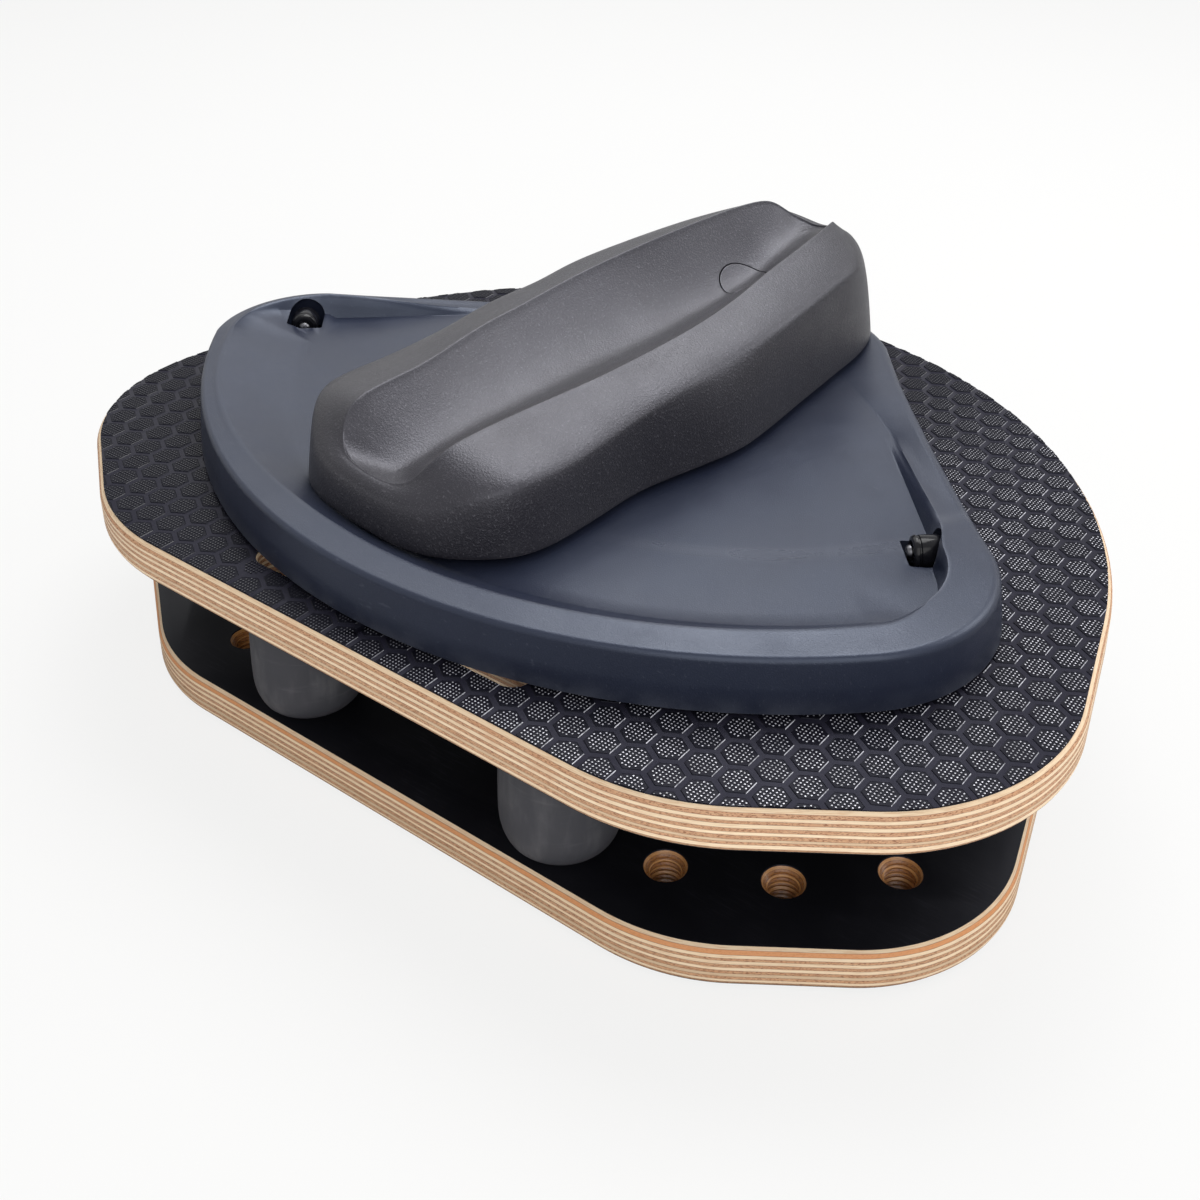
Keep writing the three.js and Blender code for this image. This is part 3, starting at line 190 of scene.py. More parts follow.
class Bench:
    """Modelling moves that the sub-assemblies share."""

    @staticmethod
    def clear() -> None:
        """Leaves edit mode and deselects every object."""
        if bpy.context.object is not None and bpy.context.object.mode != "OBJECT":
            bpy.ops.object.mode_set(mode="OBJECT")
        bpy.ops.object.select_all(action="DESELECT")

    @staticmethod
    def pick(piece: bpy.types.Object) -> None:
        """Selects one object alone and makes it active.

        Args:
            piece: The object.
        """
        Bench.clear()
        piece.select_set(True)
        bpy.context.view_layer.objects.active = piece

    @staticmethod
    def _key(place: Sequence[float]) -> tuple[int, int, int]:
        """Rounded place, to find a vertex again."""
        return tuple(round(value * 1e7) for value in place)

    @staticmethod
    def loft(name: str, rings: Sequence[Sequence[Point]]) -> bpy.types.Object:
        """A closed skin drawn up ring by ring from a circle, by extruding its open edge.

        Args:
            name: Name of the piece.
            rings: Rings of equal point counts in millimetres, lowest or outermost first.

        Returns:
            The new object.
        """
        Bench.clear()
        bpy.ops.mesh.primitive_circle_add(vertices=len(rings[0]), radius=1.0, fill_type="NOTHING")
        piece = bpy.context.object
        piece.name = piece.data.name = name
        bpy.ops.object.mode_set(mode="EDIT")
        bpy.ops.mesh.select_all(action="SELECT")
        shape = bmesh.from_edit_mesh(piece.data)
        shape.verts.ensure_lookup_table()
        ring_now = [tuple(value * MM for value in place) for place in rings[0]]
        for vertex, place in zip(shape.verts, ring_now):
            vertex.co = place
        bmesh.update_edit_mesh(piece.data)
        for ring in rings[1:]:
            order = {Bench._key(Vector(place)): i for i, place in enumerate(Bench._stored(ring_now))}
            ring_next = [tuple(value * MM for value in place) for place in ring]
            bpy.ops.mesh.extrude_edges_move()
            shape = bmesh.from_edit_mesh(piece.data)
            for vertex in shape.verts:
                if vertex.select:
                    vertex.co = ring_next[order[Bench._key(vertex.co)]]
            bmesh.update_edit_mesh(piece.data)
            ring_now = ring_next
        bpy.ops.mesh.select_all(action="SELECT")
        bpy.ops.mesh.remove_doubles(threshold=1e-6)
        bpy.ops.mesh.select_all(action="SELECT")
        bpy.ops.mesh.fill_holes(sides=0)
        bpy.ops.mesh.select_all(action="SELECT")
        bpy.ops.mesh.normals_make_consistent(inside=False)
        bpy.ops.object.mode_set(mode="OBJECT")
        return piece

    @staticmethod
    def _stored(ring: Sequence[Point]) -> list[Point]:
        """Ring as single-precision places, the way a mesh stores them."""
        return [tuple(Vector(place)) for place in ring]

    @staticmethod
    def turn(
        name: str,
        profile: Sequence[tuple[float, float]],
        sides: int = 48,
        centre: tuple[float, float] = (0.0, 0.0),
        ring_shaped: bool = False,
    ) -> bpy.types.Object:
        """A round piece: a circle that is extruded upwards and resized along a profile.

        Args:
            name: Name of the piece.
            profile: Radius and height pairs in millimetres, all radii over zero.
            sides: Number of sides.
            centre: Place of the axis.
            ring_shaped: Whether the profile closes on itself round a bore.

        Returns:
            The new object.
        """
        Bench.clear()
        cx, cy = centre[0] * MM, centre[1] * MM
        radius, height = profile[0]
        bpy.ops.mesh.primitive_circle_add(
            vertices=sides, radius=radius * MM, fill_type="NOTHING", location=(cx, cy, height * MM)
        )
        piece = bpy.context.object
        piece.name = piece.data.name = name
        bpy.ops.object.transform_apply(location=True, rotation=False, scale=False)
        bpy.ops.object.mode_set(mode="EDIT")
        bpy.ops.mesh.select_all(action="SELECT")
        for new_radius, new_height in profile[1:]:
            bpy.ops.mesh.extrude_edges_move(
                TRANSFORM_OT_translate={"value": (0, 0, (new_height - height) * MM)}
            )
            share = new_radius / radius
            bpy.ops.transform.resize(value=(share, share, 1), center_override=(cx, cy, new_height * MM))
            radius, height = new_radius, new_height
        bpy.ops.mesh.select_all(action="DESELECT")
        bpy.ops.mesh.select_non_manifold(extend=False)
        if ring_shaped:
            bpy.ops.mesh.bridge_edge_loops()
        else:
            bpy.ops.mesh.fill_holes(sides=0)
        bpy.ops.mesh.select_all(action="SELECT")
        bpy.ops.mesh.normals_make_consistent(inside=False)
        bpy.ops.object.mode_set(mode="OBJECT")
        return piece

    @staticmethod
    def modify(piece: bpy.types.Object, kind: str, **settings: object) -> None:
        """Adds a modifier with its settings and applies it.

        Args:
            piece: The piece that is changed.
            kind: Blender's name of the modifier type.
            **settings: Properties of the modifier.
        """
        Bench.pick(piece)
        modifier = piece.modifiers.new(kind.title(), kind)
        for key, value in settings.items():
            setattr(modifier, key, value)
        bpy.ops.object.modifier_apply(modifier=modifier.name)

    @staticmethod
    def combine(
        piece: bpy.types.Object, tool: bpy.types.Object, operation: str = "DIFFERENCE", keep: bool = False
    ) -> None:
        """Cuts a piece with a cutting body and removes that body.

        Args:
            piece: The piece that is changed.
            tool: The cutting body.
            operation: DIFFERENCE to cut the tool away, INTERSECT to keep what lies in it.
            keep: Whether the tool stays.
        """
        Bench.modify(piece, "BOOLEAN", object=tool, operation=operation, solver="EXACT")
        if not keep:
            bpy.data.objects.remove(tool, do_unlink=True)

    @staticmethod
    def copy(piece: bpy.types.Object, name: str) -> bpy.types.Object:
        """A copy with its own mesh.

        Args:
            piece: The piece that is copied.
            name: Name of the copy.

        Returns:
            The copy.
        """
        twin = piece.copy()
        twin.data = piece.data.copy()
        twin.name = twin.data.name = name
        bpy.context.scene.collection.objects.link(twin)
        return twin

    @staticmethod
    def join(pieces: Sequence[bpy.types.Object], name: str) -> bpy.types.Object:
        """Joins objects into one mesh.

        Args:
            pieces: The objects, of which the first takes in the others.
            name: Name of the joined piece.

        Returns:
            The joined piece.
        """
        Bench.clear()
        for piece in pieces:
            piece.select_set(True)
        bpy.context.view_layer.objects.active = pieces[0]
        bpy.ops.object.join()
        joined = bpy.context.object
        joined.name = joined.data.name = name
        return joined

    @staticmethod
    def settle(piece: bpy.types.Object, degrees: float = 35.0) -> bpy.types.Object:
        """Puts the place into the mesh and smooths faces that meet below an angle.

        Args:
            piece: The piece.
            degrees: Angle over which an edge stays sharp.

        Returns:
            The piece.
        """
        Bench.pick(piece)
        bpy.ops.object.transform_apply(location=True, rotation=True, scale=True)
        bpy.ops.object.shade_smooth_by_angle(angle=math.radians(degrees))
        return piece

    @staticmethod
    def lay(piece: bpy.types.Object, turn_y: float, turn_z: float, place: Point) -> None:
        """Turns a piece about the origin and moves it to its place, in its mesh.

        Args:
            piece: The piece.
            turn_y: First turn, about Y, in degrees.
            turn_z: Second turn, about Z, in degrees.
            place: Where its origin goes, in millimetres.
        """
        turn = Matrix.Rotation(math.radians(turn_z), 4, "Z") @ Matrix.Rotation(math.radians(turn_y), 4, "Y")
        piece.matrix_world = Matrix.Translation(Vector(place) * MM) @ turn
        Bench.pick(piece)
        bpy.ops.object.transform_apply(location=True, rotation=True, scale=True)


# Finishes


class Sketch:
    """A material's node tree and the moves that draw it."""

    def __init__(self, name: str) -> None:
        """Starts an empty material with a shader and its output.

        Args:
            name: Name of the material.
        """
        self.material = bpy.data.materials.new(name)
        self.material.use_nodes = True
        self.nodes = self.material.node_tree.nodes
        self.nodes.clear()
        output = self.nodes.new("ShaderNodeOutputMaterial")
        self.shader = self.nodes.new("ShaderNodeBsdfPrincipled")
        self.link(self.shader.outputs[0], output.inputs[0])
        self.place = self.nodes.new("ShaderNodeTexCoord").outputs["Object"]

    def link(self, start: bpy.types.NodeSocket, end: bpy.types.NodeSocket) -> None:
        """Joins two sockets."""
        self.material.node_tree.links.new(start, end)

    def feed(self, value: object, socket: bpy.types.NodeSocket) -> None:
        """Sets a socket to a number or colour, or links another socket to it.

        Args:
            value: A number, a colour or a socket.
            socket: The socket that takes it.
        """
        if isinstance(value, bpy.types.NodeSocket):
            self.link(value, socket)
        elif isinstance(value, tuple) and len(value) == 3 and socket.type == "RGBA":
            socket.default_value = (*value, 1.0)
        else:
            socket.default_value = value

    def set(self, **values: object) -> None:
        """Feeds the shader's sockets, named with underscores for spaces."""
        for key, value in values.items():
            self.feed(value, self.shader.inputs[key.replace("_", " ")])

    def stretched(self, scale: Point, shift: Point = (0, 0, 0)) -> bpy.types.NodeSocket:
        """Object coordinates, moved and stretched.

        Args:
            scale: Stretch along each axis.
            shift: Move along each axis, in metres.

        Returns:
            The vector socket.
        """
        mapping = self.nodes.new("ShaderNodeMapping")
        mapping.inputs["Scale"].default_value = scale
        mapping.inputs["Location"].default_value = shift
        self.link(self.place, mapping.inputs["Vector"])
        return mapping.outputs[0]

    def noise(
        self, scale: float, detail: float = 4.0, stretch: Point = (1, 1, 1), rough: float = 0.55
    ) -> bpy.types.NodeSocket:
        """Noise on object coordinates.

        Args:
            scale: Features a metre.
            detail: Octaves.
            stretch: Stretch of the coordinates along each axis.
            rough: Share that each octave keeps.

        Returns:
            The factor socket.
        """
        node = self.nodes.new("ShaderNodeTexNoise")
        node.inputs["Scale"].default_value = scale
        node.inputs["Detail"].default_value = detail
        node.inputs["Roughness"].default_value = rough
        self.link(self.stretched(stretch), node.inputs["Vector"])
        return node.outputs["Fac"]

    def math(self, operation: str, *values: object, clamped: bool = False) -> bpy.types.NodeSocket:
        """One arithmetic step.

        Args:
            operation: Blender's name of the operation.
            *values: Numbers or sockets, in the order of the node's inputs.
            clamped: Whether the result is held between 0 and 1.

        Returns:
            The result's socket.
        """
        node = self.nodes.new("ShaderNodeMath")
        node.operation = operation
        node.use_clamp = clamped
        for value, socket in zip(values, node.inputs):
            self.feed(value, socket)
        return node.outputs[0]

    def ramp(
        self, factor: bpy.types.NodeSocket, stops: Sequence[tuple[float, Colour]]
    ) -> bpy.types.NodeSocket:
        """Colours along a factor.

        Args:
            factor: The factor.
            stops: Places along the factor with their colours, in order.

        Returns:
            The colour socket.
        """
        node = self.nodes.new("ShaderNodeValToRGB")
        self.link(factor, node.inputs[0])
        elements = node.color_ramp.elements
        elements[0].position, elements[1].position = stops[0][0], stops[-1][0]
        elements[0].color, elements[1].color = (*stops[0][1], 1), (*stops[-1][1], 1)
        for position, colour in stops[1:-1]:
            elements.new(position).color = (*colour, 1)
        return node.outputs[0]

    def span(
        self, factor: object, low: float, high: float, to_low: float = 0.0, to_high: float = 1.0
    ) -> bpy.types.NodeSocket:
        """Maps a range of a factor smoothly onto another range.

        Args:
            factor: The factor.
            low: Where the range starts.
            high: Where the range ends.
            to_low: Value at its start.
            to_high: Value at its end.

        Returns:
            The result's socket.
        """
        node = self.nodes.new("ShaderNodeMapRange")
        node.interpolation_type = "SMOOTHSTEP"
        for value, socket in zip((factor, low, high, to_low, to_high), node.inputs):
            self.feed(value, socket)
        return node.outputs[0]

    def blend(self, factor: object, first: object, second: object, kind: str = "MIX") -> bpy.types.NodeSocket:
        """Mixes two colours.

        Args:
            factor: Share of the second colour.
            first: A colour or a socket.
            second: A colour or a socket.
            kind: Blender's name of the way of mixing.

        Returns:
            The colour socket.
        """
        node = self.nodes.new("ShaderNodeMix")
        node.data_type = "RGBA"
        node.blend_type = kind
        for value, index in ((factor, 0), (first, 6), (second, 7)):
            self.feed(value, node.inputs[index])
        return node.outputs[2]

    def bump(
        self, height: bpy.types.NodeSocket, depth: float, strength: float = 1.0, below: object = None
    ) -> bpy.types.NodeSocket:
        """Surface relief, on top of another relief where one is given.

        Args:
            height: Height of the relief as a factor.
            depth: Depth in millimetres.
            strength: How much of it shows.
            below: Normal socket of the relief under it.

        Returns:
            The normal socket.
        """
        node = self.nodes.new("ShaderNodeBump")
        node.inputs["Strength"].default_value = strength
        node.inputs["Distance"].default_value = depth * MM
        self.link(height, node.inputs["Height"])
        if below is not None:
            self.link(below, node.inputs["Normal"])
        return node.outputs[0]

    def axes(self, shift: Point = (0, 0, 0)) -> tuple[bpy.types.NodeSocket, ...]:
        """The three object coordinates, moved.

        Args:
            shift: Move along each axis, in metres.

        Returns:
            The sockets of X, Y and Z.
        """
        node = self.nodes.new("ShaderNodeSeparateXYZ")
        self.link(self.stretched((1, 1, 1), shift), node.inputs[0])
        return tuple(node.outputs)

    def edges(self, low: float, high: float) -> bpy.types.NodeSocket:
        """Factor that grows on convex edges of the mesh."""
        return self.span(self.nodes.new("ShaderNodeNewGeometry").outputs["Pointiness"], low, high)


@dataclass(frozen=True)
class PlywoodFinish:
    """Birch plies seen on edge: pale and brown plies by turns, with thin glue lines.

    The lowest ply starts at the height `bottom`, and `warm_ply` counts from it; below zero, none is warm.
    """

    bottom: float
    ply: float = 18 / 13
    pale: Colour = (0.93, 0.75, 0.53)
    pale_streak: Colour = (0.78, 0.53, 0.33)
    brown: Colour = (0.62, 0.33, 0.18)
    brown_pore: Colour = (0.33, 0.15, 0.075)
    glue: Colour = (0.24, 0.105, 0.055)
    warm: Colour = (0.78, 0.34, 0.13)
    warm_ply: float = -1.0
    rough: tuple[float, float] = (0.5, 0.68)

    def make(self, name: str) -> bpy.types.Material:
        """Draws the material.

        Args:
            name: Name of the material.

        Returns:
            The material.
        """
        s = Sketch(name)
        z = s.axes()[2]
        wobble = s.math("MULTIPLY", s.math("SUBTRACT", s.noise(22, 2), 0.5), 0.5 * MM)
        uneven = s.math("MULTIPLY", s.math("SUBTRACT", s.noise(1, 1, (2, 2, 290)), 0.5), 1.7 * MM)
        height = s.math("ADD", s.math("ADD", z, wobble), uneven)
        level = s.math("DIVIDE", s.math("SUBTRACT", height, self.bottom * MM), self.ply * MM)
        index = s.math("FLOOR", level)
        within = s.math("ABSOLUTE", s.math("SUBTRACT", s.math("FRACT", level), 0.5))
        parity = s.math("MODULO", index, 2.0)
        fibre = s.noise(1, 8, (150, 150, 5200))
        pores = s.noise(1, 4, (900, 900, 3600))
        pale = s.blend(s.span(fibre, 0.45, 0.7), self.pale, self.pale_streak)
        brown = s.blend(s.span(fibre, 0.4, 0.6, 0.0, 0.5), self.brown, self.pale_streak)
        brown = s.blend(s.span(pores, 0.5, 0.62), brown, self.brown_pore)
        plies = s.blend(parity, pale, brown)
        warm = s.math("COMPARE", index, self.warm_ply, 0.5)
        plies = s.blend(s.math("MULTIPLY", warm, 0.8), plies, self.warm)
        tone = s.nodes.new("ShaderNodeTexWhiteNoise")
        tone.noise_dimensions = "1D"
        s.link(index, tone.inputs["W"])
        shade = s.ramp(tone.outputs["Value"], [(0, (0.80, 0.76, 0.72)), (1, (1.06, 1.06, 1.06))])
        plies = s.blend(1.0, plies, shade, "MULTIPLY")
        glue = s.span(within, 0.42, 0.49)
        glue = s.math("MULTIPLY", glue, s.span(s.noise(60, 3), 0.3, 0.6, 0.55, 0.95))
        plies = s.blend(glue, plies, self.glue)
        stain = s.span(s.noise(38, 5), 0.62, 0.78, 0.0, 0.35)
        s.set(Base_Color=s.blend(stain, plies, self.brown), Roughness=s.span(pores, 0.3, 0.7, *self.rough))
        relief = s.bump(fibre, 0.12, 0.35)
        s.set(Normal=s.bump(within, 0.1, 0.5, relief))
        return s.material


@dataclass(frozen=True)
class FilmFinish:
    """Black phenolic film: satin, with faint clouding and fine scratches."""

    colour: Colour = (0.0045, 0.0045, 0.006)
    worn: Colour = (0.014, 0.014, 0.018)
    rough: tuple[float, float] = (0.34, 0.5)
    grain: float = 0.02
    grain_scale: float = 2600.0
    gloss: float = 0.16

    def make(self, name: str) -> bpy.types.Material:
        """Draws the material.

        Args:
            name: Name of the material.

        Returns:
            The material.
        """
        s = Sketch(name)
        cloud = s.noise(26, 6)
        scratch = s.noise(90, 3, (1, 14, 1))
        worn = s.math("MULTIPLY", s.span(cloud, 0.45, 0.75), s.span(scratch, 0.5, 0.7))
        s.set(
            Base_Color=s.blend(worn, self.colour, self.worn),
            Roughness=s.span(cloud, 0.3, 0.7, *self.rough),
            Specular_IOR_Level=self.gloss,
            Specular_Tint=(0.80, 0.82, 1.0),
        )
        fine = s.bump(s.noise(self.grain_scale, 3), self.grain)
        s.set(Normal=s.bump(s.noise(320, 3), 0.02, 0.6, fine))
        return s.material


@dataclass(frozen=True)
class StudHighlightFinish:
    """Painted highlights on the deck's stud tops and the cells' right-facing walls: dark on the left, lighter
    towards the right, where the light falls.
    """

    # Colours of the painted highlight: unlit on the left, lit on the right.
    unlit_tone: Colour = (0.022, 0.022, 0.03)
    highlight_tone: Colour = (0.68, 0.68, 0.75)
    from_x: float = 10.0
    to_x: float = 150.0

    def make(self, name: str) -> bpy.types.Material:
        """Draws the material.

        Args:
            name: Name of the material.

        Returns:
            The material.
        """
        s = Sketch(name)
        x, y, _ = s.axes()
        # Painted highlight: grows from the left towards the right, where the light falls, in patches of
        # noise.
        side = s.span(s.math("SUBTRACT", x, s.math("MULTIPLY", y, 0.35)), self.from_x * MM, self.to_x * MM)
        lit_patches = s.math("MULTIPLY", side, s.span(s.noise(55, 4), 0.3, 0.6, 0.55, 1.0))
        # Painted glints: each stud's highlight lighter or darker at random.
        single = s.span(s.noise(700, 2), 0.35, 0.6, 0.35, 1.0)
        s.set(
            Base_Color=s.blend(s.math("MULTIPLY", lit_patches, single), self.unlit_tone, self.highlight_tone),
            Roughness=s.span(s.noise(90, 3), 0.3, 0.7, 0.2, 0.32),
            Specular_IOR_Level=0.5,
        )
        s.set(Normal=s.bump(s.noise(2600, 2), 0.008, 0.5))
        return s.material


@dataclass(frozen=True)
class ShellFinish:
    """Moulded plastic with a fine grain, a slight mottle, light specks painted as the grain's glints, and
    lighter edges that are part wear and part painted highlight.
    """

    colour: Colour
    mottle: Colour
    # Lighter colour of wear, scratches and the painted edge highlights and glints.
    wear_and_highlight: Colour
    rough: tuple[float, float] = (0.42, 0.56)
    grain_scale: float = 1900.0
    grain_depth: float = 0.05
    # Pointiness range of the lighter edges: wear and painted highlight.
    rub: tuple[float, float] = (0.515, 0.56)
    painted_glints: float = 0.25
    gloss: float = 0.5
    sheen: Colour = (0.86, 0.89, 1.0)
    arcs: bool = False

    def make(self, name: str) -> bpy.types.Material:
        """Draws the material.

        Args:
            name: Name of the material.

        Returns:
            The material.
        """
        s = Sketch(name)
        cloud = s.noise(17, 5)
        fine = s.noise(self.grain_scale, 4, rough=0.65)
        base = s.blend(s.span(cloud, 0.36, 0.68), self.colour, self.mottle)
        # Painted glints: light specks on the fine grain.
        painted_glints = s.span(fine, 0.56, 0.72, 0.0, self.painted_glints)
        base = s.blend(painted_glints, base, self.wear_and_highlight)
        # Convex edges made lighter: part wear, part painted highlight along the crests and rims.
        wear_and_highlight = s.math("MULTIPLY", s.edges(*self.rub), s.span(s.noise(70, 4), 0.35, 0.62, 0.25, 1.0))
        base = s.blend(s.math("MULTIPLY", wear_and_highlight, 0.55), base, self.wear_and_highlight)
        rough = s.span(s.noise(48, 5), 0.3, 0.7, *self.rough)
        if self.arcs:
            base, rough = self._scuffs(s, base, rough)
        scratch = s.span(s.noise(150, 2, (1, 9, 3)), 0.66, 0.72, 0.0, 0.16)
        s.set(
            Base_Color=s.blend(scratch, base, self.wear_and_highlight),
            Roughness=rough,
            Specular_IOR_Level=self.gloss,
            Specular_Tint=self.sheen,
        )
        grain = s.bump(fine, self.grain_depth, 0.7)
        s.set(Normal=s.bump(s.noise(9, 2), 0.6, 0.15, grain))
        return s.material

    def _scuffs(
        self, s: Sketch, base: bpy.types.NodeSocket, rough: bpy.types.NodeSocket
    ) -> tuple[bpy.types.NodeSocket, bpy.types.NodeSocket]:
        """Arcs that the cradle's glides rub on the plate, round the spindle.

        Args:
            s: The sketch.
            base: Colour so far.
            rough: Roughness so far.

        Returns:
            The colour and roughness with the arcs.
        """
        x, y, _ = s.axes((0, -SPINDLE_Y * MM, 0))
        radius = s.math("SQRT", s.math("ADD", s.math("MULTIPLY", x, x), s.math("MULTIPLY", y, y)))
        wander = s.math("MULTIPLY", s.math("SUBTRACT", s.noise(30, 3), 0.5), 1.2 * MM)
        along = s.span(s.math("ADD", radius, wander), 0.158, 0.182)
        none, some, full = (0.0,) * 3, (0.45,) * 3, (1.0,) * 3
        lines = s.ramp(
            along,
            [
                (0.0, none), (0.30, none), (0.32, some), (0.35, none), (0.44, none), (0.455, full),
                (0.475, none), (0.60, none), (0.615, some), (0.63, none), (0.66, some), (0.70, none),
                (0.76, full), (0.775, none), (1.0, none),
            ],
        )
        sector = s.math("MULTIPLY", s.span(x, 0.035, 0.075), s.span(y, -0.02, -0.07))
        broken = s.math("MULTIPLY", sector, s.span(s.noise(45, 4), 0.38, 0.56))
        worn = s.math("MULTIPLY", lines, s.math("MULTIPLY", broken, 0.55))
        inner, outer = s.span(along, 0.2, 0.5), s.span(along, 0.9, 0.6)
        dulled = s.math("MULTIPLY", inner, s.math("MULTIPLY", outer, sector))
        base = s.blend(s.math("MULTIPLY", dulled, 0.14), base, self.wear_and_highlight)
        dark = tuple(value * 0.42 for value in self.colour)
        return s.blend(worn, base, dark), s.math("SUBTRACT", rough, s.math("MULTIPLY", dulled, 0.06))


@dataclass(frozen=True)
class RubberFinish:
    """Moulded rubber with pale dusty scuffs."""

    colour: Colour = (0.034, 0.034, 0.037)
    dust: Colour = (0.145, 0.14, 0.138)
    dusty: float = 0.5

    def make(self, name: str) -> bpy.types.Material:
        """Draws the material.

        Args:
            name: Name of the material.

        Returns:
            The material.
        """
        s = Sketch(name)
        streak = s.noise(140, 6, (1, 1, 0.28))
        rings = s.noise(60, 4, (0.6, 0.6, 5))
        cloud = s.noise(35, 5)
        dust = s.math("MULTIPLY", s.span(cloud, 0.35, 0.65), s.span(streak, 0.4, 0.72))
        dust = s.math("ADD", dust, s.span(rings, 0.58, 0.75, 0.0, 0.35), clamped=True)
        s.set(
            Base_Color=s.blend(s.math("MULTIPLY", dust, self.dusty), self.colour, self.dust),
            Roughness=s.span(cloud, 0.3, 0.7, 0.62, 0.82),
            Specular_IOR_Level=0.35,
        )
        s.set(Normal=s.bump(s.noise(900, 4), 0.06, 0.6))
        return s.material


@dataclass(frozen=True)
class HardFinish:
    """Metal or glossy plastic with a faint brushed or moulded grain."""

    colour: Colour
    tint: Colour
    metallic: float = 0.0
    rough: tuple[float, float] = (0.2, 0.36)
    gloss: float = 0.5
    stretch: Point = (1, 1, 1)

    def make(self, name: str) -> bpy.types.Material:
        """Draws the material.

        Args:
            name: Name of the material.

        Returns:
            The material.
        """
        s = Sketch(name)
        grain = s.noise(420, 5, self.stretch)
        s.set(
            Base_Color=s.blend(s.span(s.noise(120, 4), 0.35, 0.65), self.colour, self.tint),
            Roughness=s.span(grain, 0.3, 0.7, *self.rough),
            Metallic=self.metallic,
            Specular_IOR_Level=self.gloss,
        )
        s.set(Normal=s.bump(grain, 0.015, 0.5))
        return s.material


@dataclass
class Palette:
    """The materials of the whole object, made once."""

    upper_ply: bpy.types.Material = field(init=False)
    lower_ply: bpy.types.Material = field(init=False)
    bore: bpy.types.Material = field(init=False)
    film: bpy.types.Material = field(init=False)
    deck: bpy.types.Material = field(init=False)
    grip: bpy.types.Material = field(init=False)
    # Painted highlights of the studs and the cells' right-facing walls.
    stud: bpy.types.Material = field(init=False)
    plate: bpy.types.Material = field(init=False)
    cradle: bpy.types.Material = field(init=False)
    rubber: bpy.types.Material = field(init=False)
    pad: bpy.types.Material = field(init=False)
    roller: bpy.types.Material = field(init=False)
    slide: bpy.types.Material = field(init=False)
    zinc: bpy.types.Material = field(init=False)
    dark_zinc: bpy.types.Material = field(init=False)
    brass: bpy.types.Material = field(init=False)

    def __post_init__(self) -> None:
        """Draws every material."""
        self.upper_ply = PlywoodFinish(bottom=75.5).make("upper_birch_plies")
        self.lower_ply = PlywoodFinish(bottom=2.0, warm_ply=11.0).make("lower_birch_plies")
        # Painted shade: darker, more amber plies for the inside of the spare holes, glossier as well.
        self.bore = PlywoodFinish(
            bottom=2.0,
            pale=(0.66, 0.33, 0.12),
            pale_streak=(0.50, 0.23, 0.08),
            brown=(0.40, 0.17, 0.06),
            brown_pore=(0.20, 0.08, 0.03),
            glue=(0.14, 0.055, 0.02),
            rough=(0.22, 0.36),
        ).make("shaded_bore_plies")
        self.film = FilmFinish().make("phenolic_film")
        self.deck = FilmFinish(
            colour=(0.013, 0.0125, 0.021), worn=(0.027, 0.026, 0.036), gloss=0.11
        ).make("deck_film")
        self.grip = FilmFinish(
            colour=(0.006, 0.006, 0.010), worn=(0.012, 0.012, 0.018), rough=(0.3, 0.42), gloss=0.08
        ).make("phenolic_grip")
        # Painted highlights for the studs' tops and the cells' right-facing walls.
        self.stud = StudHighlightFinish().make("painted_stud_highlights")
        self.plate = ShellFinish(
            colour=(0.015, 0.019, 0.036),
            mottle=(0.013, 0.016, 0.031),
            # Lighter colour for wear and for the painted edge highlights and glints.
            wear_and_highlight=(0.12, 0.13, 0.165),
            rough=(0.29, 0.38),
            sheen=(0.72, 0.81, 1.0),
            grain_scale=1700.0,
            grain_depth=0.12,
            painted_glints=0.1,
            gloss=0.5,
            arcs=True,
        ).make("plate_plastic")
        self.cradle = ShellFinish(
            colour=(0.013, 0.012, 0.016),
            mottle=(0.011, 0.010, 0.013),
            # Lighter colour for wear and for the painted edge highlights and glints.
            wear_and_highlight=(0.16, 0.155, 0.175),
            rough=(0.3, 0.39),
            sheen=(0.89, 0.89, 1.0),
            grain_scale=1150.0,
            grain_depth=0.36,
            painted_glints=0.45,
            gloss=0.6,
        ).make("cradle_plastic")
        self.rubber = RubberFinish(
            colour=(0.055, 0.055, 0.064), dust=(0.17, 0.168, 0.175)
        ).make("buffer_rubber")
        self.pad = RubberFinish(dusty=0.2).make("foot_rubber")
        self.roller = HardFinish(
            (0.006, 0.006, 0.008), (0.010, 0.010, 0.013), rough=(0.1, 0.2), gloss=0.2
        ).make("roller_black")
        self.slide = HardFinish(
            (0.62, 0.6, 0.54), (0.54, 0.52, 0.46), rough=(0.3, 0.42)
        ).make("slide_plastic")
        self.zinc = HardFinish(
            (0.56, 0.57, 0.6), (0.46, 0.47, 0.5), metallic=1.0, rough=(0.26, 0.42), stretch=(1, 1, 6)
        ).make("zinc_steel")
        self.dark_zinc = HardFinish(
            (0.16, 0.16, 0.17), (0.11, 0.11, 0.12), metallic=1.0, rough=(0.26, 0.4)
        ).make("dark_zinc_steel")
        self.brass = HardFinish(
            (0.62, 0.43, 0.17), (0.5, 0.34, 0.13), metallic=1.0, rough=(0.28, 0.44)
        ).make("brass")


def dress(piece: bpy.types.Object, material: bpy.types.Material) -> None:
    """Gives a piece one material."""
    piece.data.materials.clear()
    piece.data.materials.append(material)


def paint(
    piece: bpy.types.Object, material: bpy.types.Material, chosen: Callable[[bpy.types.MeshPolygon], bool]
) -> None:
    """Gives some faces of a dressed piece a further material.

    Args:
        piece: The dressed piece.
        material: The further material.
        chosen: Tells whether a face gets it.
    """
    piece.data.materials.append(material)
    index = len(piece.data.materials) - 1
    for face in piece.data.polygons:
        if chosen(face):
            face.material_index = index


